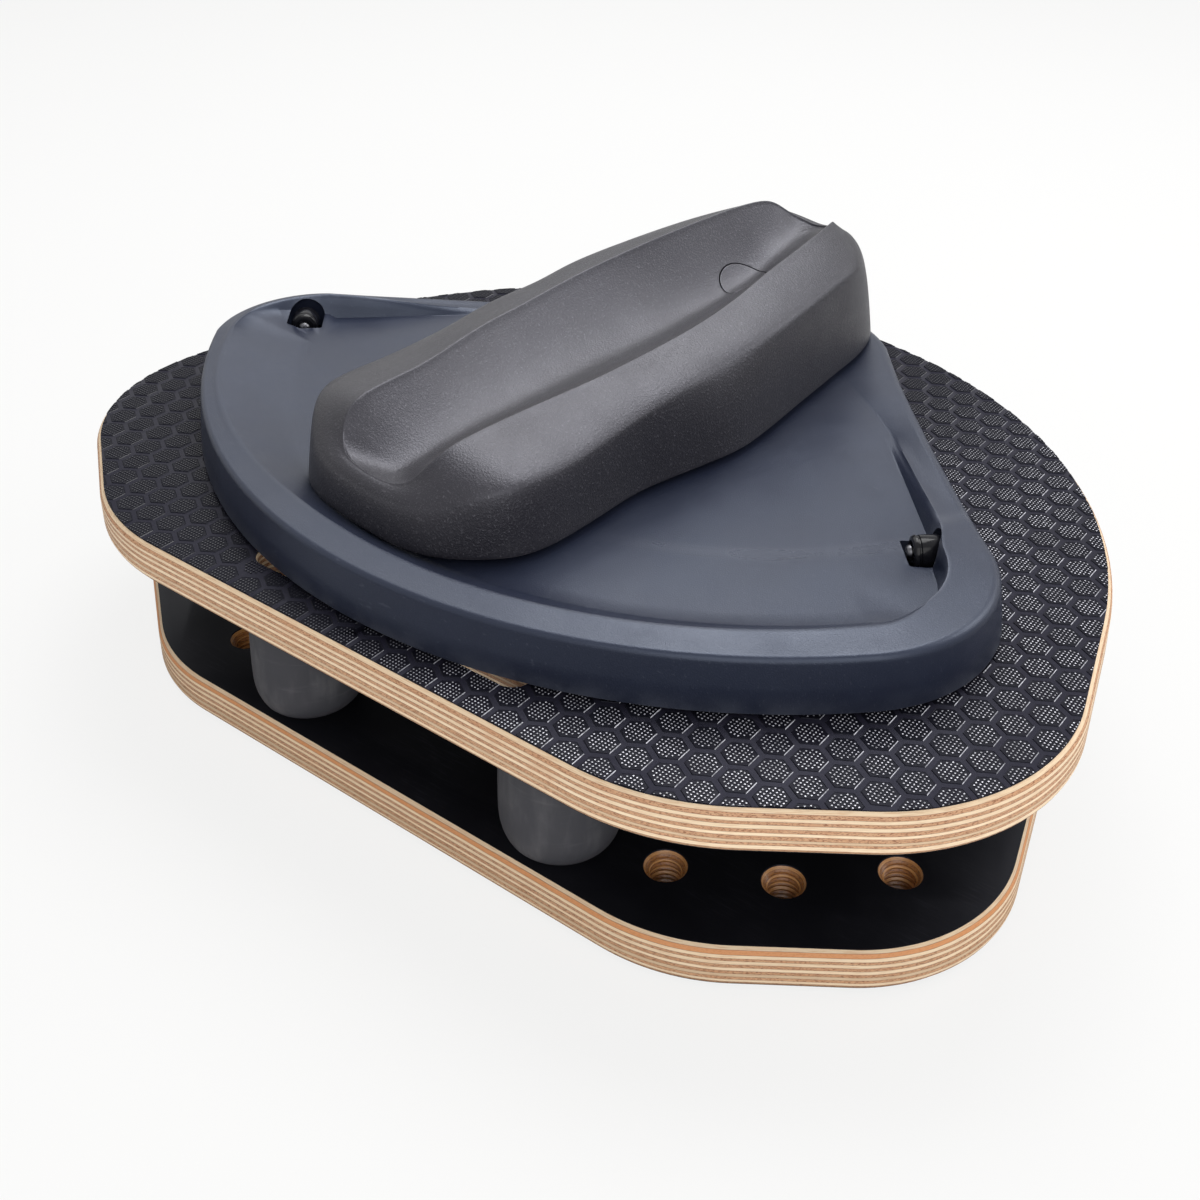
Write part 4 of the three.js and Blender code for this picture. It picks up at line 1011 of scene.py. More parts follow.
def deliver(
    piece: bpy.types.Object,
    material: bpy.types.Material,
    body: Body,
    stands_for: Sequence[str] = (),
) -> None:
    """Dresses a finished piece and hangs it on its body.

    Args:
        piece: The finished piece.
        material: Its material.
        body: The body that it rides on.
        stands_for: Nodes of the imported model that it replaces.
    """
    dress(piece, material)
    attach(piece, body.value)
    if stands_for:
        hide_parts(*stands_for)
    log.info("%s: %d faces on %s", piece.name, len(piece.data.polygons), body.value)


# Boards


@dataclass
class BoardShape:
    """Outline of the upper board, of arcs and straights that run into each other."""

    depth: float = 340.8
    back_radius: float = 219.5
    side_radius: float = 82.0
    side_spread: float = 145.9
    side_from_front: float = 107.6
    nose_radius: float = 96.2
    nose_degrees: float = 34.7

    def outline(self, inset: float = 0.0) -> list[Edge]:
        """Outline points, counter-clockwise from the front middle.

        Args:
            inset: How far the whole outline is moved inwards.

        Returns:
            The closed outline.
        """
        front = -self.depth / 2
        nose = math.radians(self.nose_degrees)
        side = (self.side_spread, front + self.side_from_front)
        back_y = self.depth / 2 - self.back_radius
        slant = (math.sin(nose), -math.cos(nose))
        reach = side[0] * slant[0] + side[1] * slant[1] + self.side_radius - self.nose_radius
        nose_x = (reach - (front + self.nose_radius) * slant[1]) / slant[0]
        dx, dy = -side[0], back_y - side[1]
        lean = math.atan2(dy, dx) - math.pi / 2
        tangent = lean - math.asin((self.back_radius - self.side_radius) / math.hypot(dx, dy))
        quarter = math.pi / 2
        right = [
            *arc(nose_x, front + self.nose_radius, self.nose_radius, -quarter, nose - quarter),
            *arc(*side, self.side_radius, nose - quarter, tangent),
            *arc(0, back_y, self.back_radius, tangent, quarter),
        ]
        left = [Edge(-p.x, p.y, -p.nx, p.ny) for p in reversed(right[:-1])]
        return [Edge(*p.inset(inset), p.nx, p.ny) for p in [*right, *left]]


@dataclass
class Board:
    """One plywood board with its two films, each a stack of rings from the bottom up.

    The edge rings are insets with their rise above the lower film, and run the same way down from the top.
    """

    name: str
    bottom: float
    inset: float = 0.0
    thickness: float = 18.0
    film: float = 0.4
    film_ease: float = 0.08
    film_ease_width: float = 0.15
    edge_rings: tuple[tuple[float, float], ...] = (
        (2.0, 0.0), (1.15, 0.75), (0.5, 1.6), (0.12, 2.5), (0.0, 3.4),
    )
    shape: BoardShape = field(default_factory=BoardShape)

    @property
    def top(self) -> float:
        """Height of the upper face."""
        return self.bottom + self.thickness

    def rings(self, outline: Sequence[Edge]) -> list[list[Point]]:
        """Rings of the plies with rounded edges above and below.

        Args:
            outline: Outline of the board.

        Returns:
            The rings from the bottom up.
        """
        low, high = self.bottom + self.film, self.top - self.film
        levels = [(inset, low + rise) for inset, rise in self.edge_rings]
        levels += [(inset, high - rise) for inset, rise in reversed(self.edge_rings)]
        return [[(*p.inset(inset), z) for p in outline] for inset, z in levels]

    def build(self) -> dict[str, bpy.types.Object]:
        """Makes the plies and both films.

        Returns:
            The three pieces by name.
        """
        outline = self.shape.outline(self.inset)
        film_edge = self.edge_rings[0][0]
        eased = self.top - self.film_ease
        upper = [[(*p.inset(film_edge), z) for p in outline] for z in (self.top - self.film, eased)]
        upper.append([(*p.inset(film_edge + self.film_ease_width), self.top) for p in outline])
        under = [[(*p.inset(film_edge), z) for p in outline] for z in (self.bottom, self.bottom + self.film)]
        return {
            "plies": Bench.loft(f"{self.name}_plies", self.rings(outline)),
            "top_film": Bench.loft(f"{self.name}_top_film", upper),
            "under_film": Bench.loft(f"{self.name}_under_film", under),
        }

    @staticmethod
    def cut(pieces: dict[str, bpy.types.Object], tools: Sequence[bpy.types.Object]) -> None:
        """Cuts the plies and both films and removes the cutting bodies.

        Args:
            pieces: The board's pieces by name.
            tools: The cutting bodies.
        """
        for piece in pieces.values():
            for tool in tools:
                Bench.combine(piece, tool, keep=True)
        for tool in tools:
            bpy.data.objects.remove(tool, do_unlink=True)


@dataclass
class BufferPlaces:
    """Where the buffers and the spare holes are."""

    spread: float = 69.8
    left_shift: float = 7.0
    front_y: float = -131.5
    rear_y: float = 113.4
    hole_pitch: float = 42.0
    front_row_radius: float = 148.0
    front_row_start: float = 2.5
    holes_a_row: int = 3

    def buffers(self) -> dict[str, tuple[float, float]]:
        """Places of the four buffers.

        Returns:
            The places by the buffers' names.
        """
        return {
            "front_left": (self.left_shift - self.spread, self.front_y),
            "front_right": (self.spread, self.front_y),
            "rear_left": (-self.spread, self.rear_y),
            "rear_right": (self.spread, self.rear_y),
        }

    def spares(self, shape: BoardShape) -> list[tuple[float, float]]:
        """Places of the spare holes in both boards.

        Args:
            shape: Outline of the upper board.

        Returns:
            The places of the front and rear rows on both sides.
        """
        start = math.radians(self.front_row_start)
        centre = (
            self.spread - self.front_row_radius * math.sin(start),
            self.front_y + self.front_row_radius * math.cos(start),
        )
        front_turn = 2 * math.asin(self.hole_pitch / 2 / self.front_row_radius)
        back_y = shape.depth / 2 - shape.back_radius
        rear_radius = math.hypot(self.spread, self.rear_y - back_y)
        rear_start = math.atan2(self.spread, self.rear_y - back_y)
        rear_turn = 2 * math.asin(self.hole_pitch / 2 / rear_radius)
        made = []
        for side in (-1, 1):
            for k in range(1, self.holes_a_row + 1):
                front, rear = start + front_turn * k, rear_start + rear_turn * k
                made.append(
                    (
                        side * (centre[0] + self.front_row_radius * math.sin(front)),
                        centre[1] - self.front_row_radius * math.cos(front),
                    )
                )
                made.append((side * rear_radius * math.sin(rear), back_y + rear_radius * math.cos(rear)))
        return made


@dataclass
class LowerBoard:
    """Lower board with countersunk spare holes and nut recesses."""

    board: Board = field(default_factory=lambda: Board("lower_board", bottom=2.0, inset=14.5))
    places: BufferPlaces = field(default_factory=BufferPlaces)
    hole_radius: float = 6.35
    mouth_radius: float = 8.1
    mouth_depth: float = 2.1
    stud_radius: float = 6.2
    recess_radius: float = 12.8
    recess_depth: float = 8.4
    thread_radius: float = 5.7
    thread_pitch: float = 2.0
    thread_turns: int = 6

    def _hole_profile(self) -> list[tuple[float, float]]:
        """Profile of a spare hole: thread turns under a countersunk mouth.

        Returns:
            Radius and height pairs from the bottom up.
        """
        low, high = self.board.bottom, self.board.top
        bore, mouth, crest = self.hole_radius, self.mouth_radius, self.thread_radius
        profile = [(bore, low - 2)]
        start = high - self.mouth_depth - self.thread_turns * self.thread_pitch
        for k in range(self.thread_turns):
            z = start + k * self.thread_pitch
            profile += [(bore, z), (crest, z + 0.6), (crest, z + 0.9), (bore, z + 1.5)]
        return profile + [
            (bore, high - self.mouth_depth), (bore + 0.35, high - self.mouth_depth + 0.25),
            (mouth - 0.35, high - 0.55), (mouth, high - 0.15),
            (mouth + 0.2, high + 0.3), (mouth + 0.2, high + 2),
        ]

    def _cutters(self) -> list[bpy.types.Object]:
        """Cutting bodies of the spare holes, the stud holes and the nut recesses.

        Returns:
            The cutting bodies.
        """
        low, high = self.board.bottom, self.board.top
        profile = self._hole_profile()
        spares = self.places.spares(self.board.shape)
        tools = [Bench.turn("spare_hole", profile, 40, place) for place in spares]
        stud = [(self.stud_radius, low - 2), (self.stud_radius, high + 2)]
        recess = [(self.recess_radius, low - 2), (self.recess_radius, low + self.recess_depth)]
        for place in self.places.buffers().values():
            tools.append(Bench.turn("stud_hole", stud, 40, place))
            tools.append(Bench.turn("nut_recess", recess, 40, place))
        return tools

    def build(self, palette: Palette) -> None:
        """Makes the board's three pieces.

        Args:
            palette: The materials.
        """
        pieces = self.board.build()
        self.board.cut(pieces, self._cutters())
        for key, material, slot, node in (
            ("plies", palette.lower_ply, Slot.PLYWOOD, "lower_board"),
            ("top_film", palette.film, Slot.FILM, "lower_top_film"),
            ("under_film", palette.film, Slot.FILM, "lower_under_film"),
        ):
            deliver(Bench.settle(pieces[key], 30), material, Body.LOWER, [node])
        # Faces of the spare holes' bores and mouths get the plies with painted shade.
        centres = [Vector((x * MM, y * MM)) for x, y in self.places.spares(self.board.shape)]
        reach = (self.mouth_radius + 0.1) * MM
        paint(
            pieces["plies"],
            palette.bore,
            lambda face: any((face.center.xy - centre).length < reach for centre in centres),
        )


@dataclass
class UpperBoard:
    """Upper board with its hand slot and centre mark."""

    board: Board = field(default_factory=lambda: Board("upper_board", bottom=75.5))
    places: BufferPlaces = field(default_factory=BufferPlaces)
    slot_length: float = 135.8
    slot_width: float = 14.8
    slot_from_front: float = 26.0
    slot_ease: float = 0.6
    mark_length: float = 7.3
    mark_width: float = 2.0
    mark_depth: float = 1.0
    mark_from_front: float = 12.9
    socket_radius: float = 4.7
    socket_depth: float = 13.0

    @staticmethod
    def stadium(
        x: float, y: float, length: float, width: float, along_x: bool, spread: float = 0.0
    ) -> list[tuple[float, float]]:
        """Outline with two round ends, lying along X or Y.

        Args:
            x: Middle across.
            y: Middle along.
            length: Length over the round ends.
            width: Width.
            along_x: Whether it lies along X.
            spread: How much wider it is all round.

        Returns:
            Points of the outline.
        """
        radius, reach = width / 2 + spread, (length - width) / 2
        dx, dy, turn = (reach, 0, -math.pi / 2) if along_x else (0, reach, 0.0)
        half, full = turn + math.pi, turn + 2 * math.pi
        first = arc(x + dx, y + dy, radius, turn, half, 9)
        second = arc(x - dx, y - dy, radius, half, full, 9)
        return [(p.x, p.y) for p in [*first, *second]]

    def slot_tool(self) -> bpy.types.Object:
        """Body that cuts the hand slot with eased edges.

        Returns:
            The cutting body.
        """
        y = -self.board.shape.depth / 2 + self.slot_from_front
        low, high = self.board.bottom, self.board.top
        ply_top = high - self.board.film
        levels = (
            (0.0, low - 2), (0.0, low + 0.4), (-self.slot_ease, low + 1.3), (-self.slot_ease, ply_top - 0.9),
            (-self.slot_ease * 0.3, ply_top - 0.3), (0.0, ply_top), (0.0, high + 2),
        )
        rings = []
        for spread, z in levels:
            outline = self.stadium(0, y, self.slot_length, self.slot_width, True, spread)
            rings.append([(*p, z) for p in outline])
        return Bench.loft("slot_tool", rings)

    def mark_tool(self) -> bpy.types.Object:
        """Body that cuts the centre mark.

        Returns:
            The cutting body.
        """
        y = -self.board.shape.depth / 2 + self.mark_from_front
        outline = self.stadium(0, y, self.mark_length, self.mark_width, False)
        rings = [[(*p, z) for p in outline] for z in (self.board.top - self.mark_depth, self.board.top + 2)]
        return Bench.loft("mark_tool", rings)

    def build(self, palette: Palette) -> None:
        """Makes the board's three pieces.

        Args:
            palette: The materials.
        """
        pieces = self.board.build()
        tools = [self.slot_tool(), self.mark_tool()]
        low = self.board.bottom
        for place in [*self.places.spares(self.board.shape), *self.places.buffers().values()]:
            socket = [(self.socket_radius, low - 2), (self.socket_radius, low + self.socket_depth)]
            tools.append(Bench.turn("socket", socket, 32, place))
        self.board.cut(pieces, tools)
        for key, material, slot, node in (
            ("plies", palette.upper_ply, Slot.PLYWOOD, "upper_board"),
            ("top_film", palette.deck, Slot.FILM, "upper_grip_film"),
            ("under_film", palette.film, Slot.FILM, "upper_under_film"),
        ):
            deliver(Bench.settle(pieces[key], 30), material, Body.UPPER, [node])


@dataclass
class DeckGrip:
    """Raised hexagons with rows of studs, pressed into the deck film."""

    upper: UpperBoard
    hidden_by: Sequence[Edge]
    pitch: float = 12.8
    phase: tuple[float, float] = (3.94, -109.645)
    across: float = 10.9
    pad_height: float = 0.24
    stud_pitch: float = 1.42
    stud_radius: float = 0.5
    stud_top: float = 0.33
    stud_height: float = 0.3
    sunk: float = 0.05
    bare_rim: float = 1.05
    under_plate: float = 12.0

    def _cell(self) -> bpy.types.Object:
        """One hexagon with its studs, about the origin at deck height.

        Returns:
            The cell.
        """
        Bench.clear()
        corner = self.across / math.sqrt(3)
        bpy.ops.mesh.primitive_circle_add(
            vertices=6, radius=corner * MM, fill_type="NGON", location=(0, 0, (DECK - self.sunk) * MM)
        )
        pad = bpy.context.object
        bpy.ops.object.transform_apply(location=True, rotation=False, scale=False)
        bpy.ops.object.mode_set(mode="EDIT")
        bpy.ops.mesh.select_all(action="SELECT")
        rise = (self.pad_height + self.sunk) * MM
        bpy.ops.mesh.extrude_region_move(TRANSFORM_OT_translate={"value": (0, 0, rise)})
        bpy.ops.transform.resize(value=(0.955, 0.955, 1), center_override=(0, 0, DECK * MM))
        bpy.ops.mesh.inset(thickness=0.15 * MM, depth=-0.1 * MM)
        bpy.ops.mesh.select_all(action="SELECT")
        bpy.ops.mesh.normals_make_consistent(inside=False)
        bpy.ops.object.mode_set(mode="OBJECT")
        base = self.pad_height - 0.17
        studs = []
        reach = int(self.across / self.stud_pitch / 2) + 1
        limit = self.across / 2 - self.bare_rim
        sides = (0, math.pi / 3, -math.pi / 3)
        for i in range(-reach, reach + 1):
            for j in range(-reach, reach + 1):
                x, y = i * self.stud_pitch, j * self.stud_pitch
                if all(abs(x * math.cos(a) + y * math.sin(a)) <= limit for a in sides):
                    studs.append((x, y))
        bpy.ops.mesh.primitive_cone_add(
            vertices=6,
            radius1=self.stud_radius * MM,
            radius2=self.stud_top * MM,
            depth=self.stud_height * MM,
            location=(0, 0, (DECK + base + self.stud_height / 2) * MM),
        )
        stud = bpy.context.object
        bpy.ops.object.transform_apply(location=True, rotation=True, scale=False)
        pieces = [pad]
        for x, y in studs:
            twin = Bench.copy(stud, "stud")
            twin.data.transform(Matrix.Translation((x * MM, y * MM, 0)))
            pieces.append(twin)
        bpy.data.objects.remove(stud, do_unlink=True)
        return Bench.join(pieces, "grip_cell")

    def _clip(self, cell: bpy.types.Object, edge: Edge) -> bool:
        """Cuts a cell off at the film's edge.

        Args:
            cell: The cell in its place.
            edge: The nearest point of the film's edge.

        Returns:
            Whether anything is left.
        """
        Bench.pick(cell)
        bpy.ops.object.mode_set(mode="EDIT")
        bpy.ops.mesh.select_all(action="SELECT")
        bpy.ops.mesh.bisect(
            plane_co=(edge.x * MM, edge.y * MM, DECK * MM),
            plane_no=(edge.nx, edge.ny, 0),
            use_fill=True,
            clear_outer=True,
        )
        bpy.ops.object.mode_set(mode="OBJECT")
        return len(cell.data.polygons) > 0

    def _stand_clear(self, x: float, y: float) -> float:
        """How far a place is from the hand slot or the centre mark, whichever is nearer.

        Args:
            x: Place across.
            y: Place along.

        Returns:
            The distance from the nearer one, about that from its edge.
        """
        board = self.upper
        front = -board.board.shape.depth / 2
        reach = (board.slot_length - board.slot_width) / 2
        slot_y = front + board.slot_from_front
        slot = math.hypot(max(abs(x) - reach, 0), y - slot_y) - board.slot_width / 2
        past_mark = max(abs(y - front - board.mark_from_front) - board.mark_length / 2, 0)
        mark = math.hypot(x, past_mark) - board.mark_width
        return min(slot, mark)

    def build(self, palette: Palette) -> None:
        """Lays the hexagons over the visible deck, in a left, a right and a front piece.

        Args:
            palette: The materials.
        """
        cell = self._cell()
        film = self.upper.board.shape.outline(self.upper.board.edge_rings[0][0] + 0.1)
        radius = self.across / math.sqrt(3)
        rows = math.ceil(self.upper.board.shape.depth / self.pitch)
        halves: dict[str, list[bpy.types.Object]] = {"left": [], "right": []}
        near: list[bpy.types.Object] = []
        for row in range(-7, rows + 8):
            y = self.phase[1] + row * self.pitch * math.sqrt(3) / 2
            for column in range(-20, 21):
                x = self.phase[0] + (column + (row % 2) / 2) * self.pitch
                inside, edge = clearance(film, x, y)
                if inside < -radius * 0.8 or clearance(self.hidden_by, x, y)[0] > self.under_plate:
                    continue
                twin = Bench.copy(cell, "cell")
                twin.data.transform(Matrix.Translation((x * MM, y * MM, 0)))
                if inside < radius and not self._clip(twin, edge):
                    bpy.data.objects.remove(twin, do_unlink=True)
                    continue
                if self._stand_clear(x, y) < radius:
                    near.append(twin)
                else:
                    halves["left" if x < 0 else "right"].append(twin)
        bpy.data.objects.remove(cell, do_unlink=True)
        close = Bench.join(near, "deck_grip_front")
        for tool in (self.upper.slot_tool(), self.upper.mark_tool()):
            Bench.combine(close, tool)
        whole = [Bench.join(cells, f"deck_grip_{name}") for name, cells in halves.items()]
        for piece in [*whole, close]:
            deliver(Bench.settle(piece, 30), palette.grip, Body.UPPER)
            # Painted highlights on the stud tops and the right-facing cell walls.
            paint(piece, palette.stud, self._painted_highlight)

    def _painted_highlight(self, face: bpy.types.MeshPolygon) -> bool:
        """Tells whether a face gets the painted highlight: a stud's top or a cell's wall on the right.

        Args:
            face: The face.

        Returns:
            Whether it gets the painted highlight.
        """
        # Small upward faces are the studs' tops; walls facing right, towards the light, take the painted
        # highlight too.
        if face.normal.z > 0.95:
            return face.area < 1.1 * 2.6 * (self.stud_top * MM) ** 2
        return face.normal.x > 0.5 and face.area > 1.6 * MM * MM


# Buffers


@dataclass
class Buffer:
    """Rubber buffer between the two boards; its section is radii at heights above its foot."""

    bottom: float = 20.0
    height: float = 55.5
    places: BufferPlaces = field(default_factory=BufferPlaces)
    section: tuple[tuple[float, float], ...] = (
        (17.2, 0.0), (18.5, 0.0), (19.3, 0.4), (20.3, 1.6), (21.2, 3.4), (22.1, 6.0), (22.7, 9.0),
        (22.95, 12.5), (22.95, 17.0), (22.85, 22.0), (22.7, 27.0), (22.5, 32.0), (22.3, 37.0), (22.1, 42.0),
        (21.9, 47.0), (21.75, 51.0), (21.6, 53.6), (21.2, 54.7), (20.4, 55.5), (15.0, 55.5),
    )

    def build(self, palette: Palette) -> None:
        """Makes the four buffers.

        Args:
            palette: The materials.
        """
        for name, place in self.places.buffers().items():
            profile = [(radius, self.bottom + rise) for radius, rise in self.section]
            piece = Bench.settle(Bench.turn(f"rubber_buffer_{name}", profile, 64, place), 50)
            dress(piece, palette.rubber)
            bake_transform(piece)
            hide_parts(f"buffer_{name}")
            log.info("%s: %d faces", piece.name, len(piece.data.polygons))


# Steering plate


@dataclass(frozen=True)
class Stretch:
    """How the plate's rim and recess run along one stretch of its outline, from its start to its end.

    rise: Height of the rim, as a share of the way from the floor to the full rim.
    wall: Height of the recess's wall, as a share of the rim's.
    sag: How high the wall's foot is rounded.
    lean: How far the outer wall leans in at the top.
    edge: Inset of the recess's upper edge.
    foot: Inset of the wall's foot.
    ramp: Shares of the stretch between which the rise changes; wall_ramp and edge_ramp the same for theirs.
    brow: How far the steep part of the wall reaches in.
    spread: How much further in edge and foot lie.
    shoulder: Size of the rounded shoulder, as a share of the full one.
    bow: How much more the outer wall leans in at mid stretch.
    dips: Whether the floor dips at the wall's foot.
    """

    rise: tuple[float, float]
    wall: tuple[float, float]
    sag: tuple[float, float]
    lean: tuple[float, float]
    edge: tuple[float, float]
    foot: tuple[float, float]
    ramp: tuple[float, float]
    wall_ramp: tuple[float, float] = (0.0, 0.0)
    edge_ramp: tuple[float, float] = (0.0, 0.0)
    brow: tuple[float, float] = (1.0, 1.0)
    spread: tuple[float, float] = (0.0, 0.0)
    shoulder: tuple[float, float] = (1.0, 1.0)
    bow: float = 0.0
    dips: bool = False

    def across(self, share: float, span: tuple[float, float]) -> float:
        """Share of a ramp at a place; an unset ramp is the main one.

        Args:
            share: The place, as a share of the stretch.
            span: Where the ramp starts and ends.

        Returns:
            How far the ramp has run, between 0 and 1.
        """
        low, high = span if span[1] else self.ramp
        return clamp((share - low) / (high - low))


@dataclass
class SteeringPlate:
    """Moulded plate with a recessed floor, a bevelled front and a roller pocket at each side."""

    turn_degrees: float = -4.0
    front_radius: float = 246.0
    apex_radius: float = 70.0
    corner_radius: dict[str, float] = field(default_factory=lambda: {"near": 60.0, "far": 50.0})
    side_degrees: float = 44.7
    lift: float = 1.5
    floor: float = 15.4
    rim: float = 24.2
    front_drop: float = 1.8
    rim_fall: float = 1.1
    shoulder_width: float = 4.5
    shoulder_height: float = 5.0
    rim_loops: tuple[tuple[float, float], ...] = ((99.0, 0.94), (99.0, 0.6), (1.9, 0.5))
    groove_dip: float = 2.2
    floor_inset: float = 50.0
    bevel_start: float = 9.0
    far_foot: float = 16.0
    brow_span: tuple[float, float] = (0.06, 0.85)
    wall: float = 3.0
    lip: float = 1.0
    hollow_height: float = 7.0
    pocket_radius: float = 8.6
    pocket_start: float = 38.5
    pocket_end: dict[str, float] = field(default_factory=lambda: {"left": 58.0, "right": 54.0})
    roller_start: float = 41.0
    roller_length: float = 11.0
    roller_radius: float = 6.3
    roller_drop: float = 0.6
    along: dict[str, float] = field(default_factory=lambda: {"left": 205.5, "right": 171.5})

    def stretches(self) -> dict[str, Stretch]:
        """The six stretches.

        Returns:
            The stretches by name.
        """
        return {
            "apex": Stretch(
                (0.12, 0), (0, 0), (0.5, 0.5), (0.4, 5.5), (17.6, 17.6), (20, 20), (0, 1), spread=(12, 0)
            ),
            "far_side": Stretch(
                (0, 1), (0, 1), (0.5, 0.5), (5.5, 4.5), (17.6, 12), (20, 16), (0.55, 1), (0.5, 0.9), dips=True
            ),
            "far_corner": Stretch(
                (1, 1), (1, 1), (0.5, 0.42), (4.5, 0.4), (12, 9), (16, 42), (0.12, 0.72),
                brow=(1, 0), shoulder=(1, 0.55),
            ),
            "front": Stretch(
                (1, 1), (1, 1), (0.42, 0.5), (0.4, 1.8), (9, 17.5), (42, 30), (0.05, 0.5),
                brow=(0, 0), shoulder=(0.55, 0.55), bow=2.2,
            ),
            "near_corner": Stretch(
                (1, 1), (1, 1), (0.5, 0.5), (1.8, 1.8), (17.5, 21.1), (30, 23.5), (0.08, 0.5),
                brow=(0, 1), shoulder=(0.55, 1), dips=True,
            ),
            "near_side": Stretch(
                (1, 0.12), (1, 0), (0.5, 0.5), (1.8, 0.4), (21.1, 17.6), (23.5, 20), (0, 0.8),
                (0.1, 0.53), (0, 0.12), spread=(0, 12), bow=2.4, dips=True,
            ),
        }

    def corner(self, radius: float) -> tuple[float, float]:
        """Centre of a corner arc that is tangent to the front arc and the side.

        Args:
            radius: Radius of the corner arc.

        Returns:
            The centre's distance from the spindle, and its angle in radians.
        """
        spread = self.front_radius - radius
        return spread, math.radians(self.side_degrees) - math.acos((self.apex_radius - radius) / spread)

    def outline(self) -> list[Edge]:
        """Outline about the spindle, counter-clockwise from the right end of the apex.

        Returns:
            The closed outline.
        """
        side, turn = math.radians(self.side_degrees), math.pi
        near_reach, near_angle = self.corner(self.corner_radius["near"])
        far_reach, far_angle = self.corner(self.corner_radius["far"])
        apex = arc(0, 0, self.apex_radius, side, turn - side, 4, "apex")
        far = arc(
            -far_reach * math.cos(far_angle), far_reach * math.sin(far_angle), self.corner_radius["far"],
            turn - side, turn - far_angle, 2.5, "far_corner",
        )
        front = arc(0, 0, self.front_radius, turn - far_angle, 2 * turn + near_angle, 2, "front")
        near = arc(
            near_reach * math.cos(near_angle), near_reach * math.sin(near_angle), self.corner_radius["near"],
            2 * turn + near_angle, 2 * turn + side, 2.5, "near_corner",
        )
        return [
            *apex,
            *self._straight(apex[-1], far[0], "far_side"),
            *far,
            *front[1:-1],
            *near,
            *self._straight(near[-1], apex[0], "near_side"),
        ]

    @staticmethod
    def _straight(start: Edge, end: Edge, stretch: str, steps: int = 56) -> list[Edge]:
        """Points of a straight between two arcs, without its ends.

        Args:
            start: Last point of the arc before it.
            end: First point of the arc after it.
            stretch: Name that the points carry.
            steps: Number of equal steps.

        Returns:
            The points.
        """
        made = []
        for i in range(1, steps):
            share = i / steps
            x, y = mix(start.x, end.x, share), mix(start.y, end.y, share)
            made.append(Edge(x, y, start.nx, start.ny, share, stretch))
        return made

    def world_outline(self) -> list[Edge]:
        """Outline in the frame, turned with the plate.

        Returns:
            The closed outline.
        """
        made = []
        c, s = math.cos(math.radians(self.turn_degrees)), math.sin(math.radians(self.turn_degrees))
        for p in self.outline():
            x, y, _ = turned_about_spindle([(p.x, p.y, 0)], self.turn_degrees)[0]
            made.append(Edge(x, y, c * p.nx - s * p.ny, s * p.nx + c * p.ny))
        return made

    def _ring(
        self, outline: Sequence[Edge], place: Callable[[dict[str, float]], tuple[float, float]]
    ) -> list[Point]:
        """One ring, its inset and height worked out point by point.

        Args:
            outline: The outline.
            place: Gives inset and height from the rim's values at a point.

        Returns:
            The ring in the frame.
        """
        stretches = self.stretches()
        made = []
        for p in outline:
            stretch = stretches[p.stretch]
            ramp = stretch.across(p.share, stretch.ramp)
            edge_ramp = smooth(stretch.across(p.share, stretch.edge_ramp))
            wall = mix(*stretch.wall, stretch.across(p.share, stretch.wall_ramp))
            bow = 4 * p.share * (1 - p.share)
            drop = self.front_drop * bow if p.stretch == "front" else 0.0
            top = mix(self.floor, self.rim, mix(*stretch.rise, ramp)) - drop
            dip = self.groove_dip * wall if stretch.dips else 0.0
            fade = smooth(ramp) if p.stretch == "near_corner" else 1.0
            spread = mix(*stretch.spread, smooth(2 * p.share - 1))
            edge, foot = mix(*stretch.edge, edge_ramp) + spread, mix(*stretch.foot, edge_ramp) + spread
            narrow = mix(*stretch.shoulder, p.share)
            edge_top, foot_level = mix(self.floor, top, wall), self.floor - dip * fade
            brow = mix(*self.brow_span, mix(*stretch.brow, ramp))
            steep_foot = self.far_foot if p.stretch == "far_corner" else foot
            lean = mix(*stretch.lean, p.share) + stretch.bow * bow
            shoulder = lean + self.shoulder_width * narrow
            rim_end = max(edge, self.bevel_start, shoulder + 1.2)
            values = {
                "top": top,
                "crest": top - self.rim_fall * wall,
                "lean": lean,
                "shoulder": self.shoulder_width * narrow,
                "shoulder_height": self.shoulder_height * narrow,
                "rim_end": rim_end,
                "rim_width": rim_end - shoulder,
                "edge": edge,
                "round": mix(1 / max(edge - self.shoulder_width - 1, 1.0), 0.3, clamp(wall * 3)),
                "foot": foot,
                "sag": mix(*stretch.sag, ramp),
                "edge_top": edge_top,
                "foot_level": foot_level,
                "brow": mix(edge, steep_foot, brow),
                "brow_level": mix(edge_top, foot_level, brow),
            }
            inset, z = place(values)
            made.append((*p.inset(inset), z))
        return turned_about_spindle(made, self.turn_degrees)

